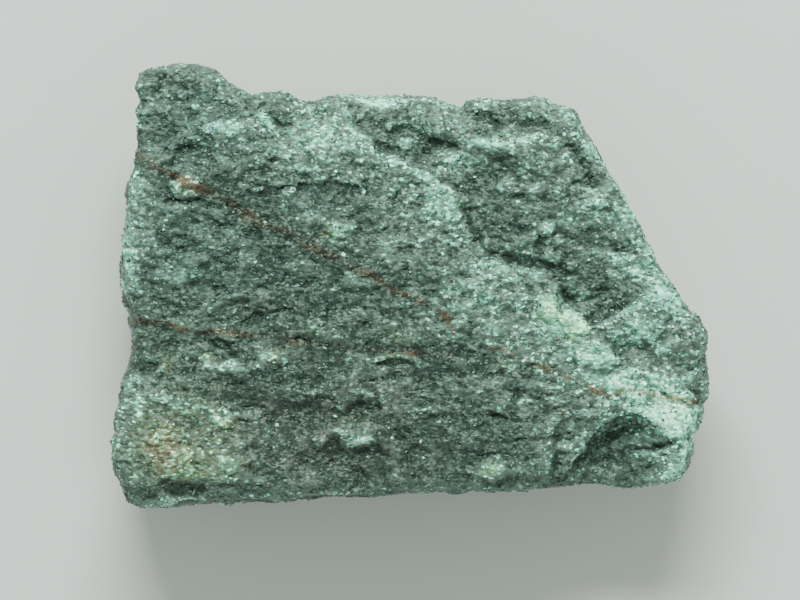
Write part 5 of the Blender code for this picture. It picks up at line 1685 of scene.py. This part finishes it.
def add_lamp(name, place, size, power):
    """A soft rectangular lamp that points at the stone."""
    lamp = bpy.data.lights.new(name, "AREA")
    lamp.shape = "RECTANGLE"
    lamp.size, lamp.size_y = size
    lamp.energy = power
    lamp.color = linear(LAMP_COLOUR)[0:3]
    holder = bpy.data.objects.new(name, lamp)
    holder.location = place
    holder.rotation_euler = aim(place, LAMP_TARGET)
    bpy.context.collection.objects.link(holder)


def floor_mesh():
    """A round floor: rings of points about the origin, each ring a radius times a circle."""
    angle = 2.0 * np.pi * np.arange(FLOOR_SPOKES) / FLOOR_SPOKES
    circle = np.column_stack((np.cos(angle), np.sin(angle), np.zeros(FLOOR_SPOKES)))
    rings = np.array(FLOOR_RINGS)[:, None, None] * circle
    points = np.vstack(((0.0, 0.0, 0.0), rings.reshape(-1, 3)))
    numbers = 1 + np.arange(len(points) - 1).reshape(-1, FLOOR_SPOKES)
    after = np.roll(numbers, -1, axis=1)
    fan = np.column_stack((np.zeros_like(numbers[0]), numbers[0], after[0]))
    quads = np.stack((numbers[:-1], numbers[1:], after[1:], after[:-1]), axis=-1).reshape(-1, 4)
    mesh = bpy.data.meshes.new("floor")
    mesh.from_pydata(points.tolist(), [], fan.tolist() + quads.tolist())
    return mesh


def paper_material():
    """Matt grey paper, painted paler far off as painted light where the lamps' light falls off:
    it shows no line where it meets the room.
    """
    tree, shader, material = new_material("matt grey paper")
    colours = bpy.context.scene.aventurine_colours
    coordinates = add_node(tree, "ShaderNodeTexCoord")
    distance = add_node(
        tree, "ShaderNodeVectorMath", {0: coordinates.outputs["Object"]}, operation="LENGTH"
    ).outputs["Value"]
    far = add_node(
        tree, "ShaderNodeMapRange",
        {"Value": distance, "From Min": FLOOR_FADE[0], "From Max": FLOOR_FADE[1]},
    ).outputs["Result"]
    colour = add_node(
        tree, "ShaderNodeMix", {"Factor": far, "A": colours.floor, "B": colours.far_floor},
        data_type="RGBA",
    ).outputs["Result"]
    tree.links.new(colour, shader.inputs["Base Color"])
    shader.inputs["Roughness"].default_value = PAPER_ROUGHNESS
    return material


def pale_room():
    """Surroundings that light the stone evenly from everywhere."""
    world = bpy.data.worlds.new("pale room")
    world.use_nodes = True
    background = world.node_tree.nodes["Background"]
    background.inputs["Color"].default_value = linear(ROOM_COLOUR)
    background.inputs["Strength"].default_value = ROOM_LIGHT
    return world


def add_camera():
    """A camera straight above: its distance is the picture's width times lens over sensor."""
    lens = bpy.data.cameras.new("camera")
    lens.lens = LENS
    lens.sensor_width = SENSOR
    lens.clip_end = CAMERA_REACH
    camera = bpy.data.objects.new("camera", lens)
    distance = PICTURE_WIDTH * LENS / SENSOR
    camera.location = np.array((*PICTURE_MIDDLE, PICTURE_LEVEL + distance)) * MM
    bpy.context.collection.objects.link(camera)
    return camera


class AVENTURINE_OT_stone(bpy.types.Operator):
    """Build the stone itself"""

    bl_idname = "aventurine.stone"
    bl_label = "Stone"

    def execute(self, context):
        surface = stone_surface(wanted_size())
        stone = make_piece(
            "aventurine_stone", surface["points"], surface["triangles"], surface["places"],
            surface["values"], stone_material(),
        )
        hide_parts(NODE)
        return {"FINISHED"}


class AVENTURINE_OT_quartz(bpy.types.Operator):
    """Scatter quartz grains that stand proud of the stone"""

    bl_idname = "aventurine.quartz"
    bl_label = "Quartz Grains"

    def execute(self, context):
        surface = stone_surface(wanted_size())
        quartz = grain_material()
        for piece, density in zip(QUARTZ_PIECES, sheet_densities(surface)):
            add_grains(surface, *piece, density, GRAIN_SHAPE, quartz)
        return {"FINISHED"}


class AVENTURINE_OT_mica(bpy.types.Operator):
    """Scatter flakes of green mica over the stone"""

    bl_idname = "aventurine.mica"
    bl_label = "Mica Flakes"

    def execute(self, context):
        surface = stone_surface(wanted_size())
        face, sides = sheet_densities(surface)
        density = face + SIDE_MICA_SHARE * sides
        add_grains(surface, *MICA_PIECE, density, FLAKE_SHAPE, mica_material())
        return {"FINISHED"}


class AVENTURINE_OT_stage(bpy.types.Operator):
    """Build the floor, the lamps, the surroundings and the camera"""

    bl_idname = "aventurine.stage"
    bl_label = "Floor, Light and Camera"

    def execute(self, context):
        mesh = floor_mesh()
        mesh.materials.append(paper_material())
        floor = bpy.data.objects.new("floor", mesh)
        context.collection.objects.link(floor)
        for lamp in LAMPS:
            add_lamp(*lamp)
        context.scene.world = pale_room()
        context.scene.camera = add_camera()
        return {"FINISHED"}


class AVENTURINE_PT_panel(bpy.types.Panel):
    """Sizes, colours and the operators that build the stone and its stage"""

    bl_label = "Raw Aventurine"
    bl_idname = "AVENTURINE_PT_panel"
    bl_space_type = "VIEW_3D"
    bl_region_type = "UI"
    bl_category = "Aventurine"

    def draw(self, context):
        for settings in (context.scene.aventurine_sizes, context.scene.aventurine_colours):
            for name in settings.__annotations__:
                self.layout.prop(settings, name)
        for operator in OPERATORS:
            self.layout.operator(operator.bl_idname)


OPERATORS = (
    AVENTURINE_OT_stone, AVENTURINE_OT_quartz, AVENTURINE_OT_mica, AVENTURINE_OT_stage,
)
CLASSES = (AventurineSizes, AventurineColours, *OPERATORS, AVENTURINE_PT_panel)


def register():
    for each in CLASSES:
        bpy.utils.register_class(each)
    bpy.types.Scene.aventurine_sizes = bpy.props.PointerProperty(type=AventurineSizes)
    bpy.types.Scene.aventurine_colours = bpy.props.PointerProperty(type=AventurineColours)


def unregister():
    del bpy.types.Scene.aventurine_colours
    del bpy.types.Scene.aventurine_sizes
    for each in reversed(CLASSES):
        bpy.utils.unregister_class(each)


def main():
    register()
    bpy.ops.aventurine.stone()
    bpy.ops.aventurine.quartz()
    bpy.ops.aventurine.mica()
    bpy.ops.aventurine.stage()


if __name__ == "__main__":
    main()
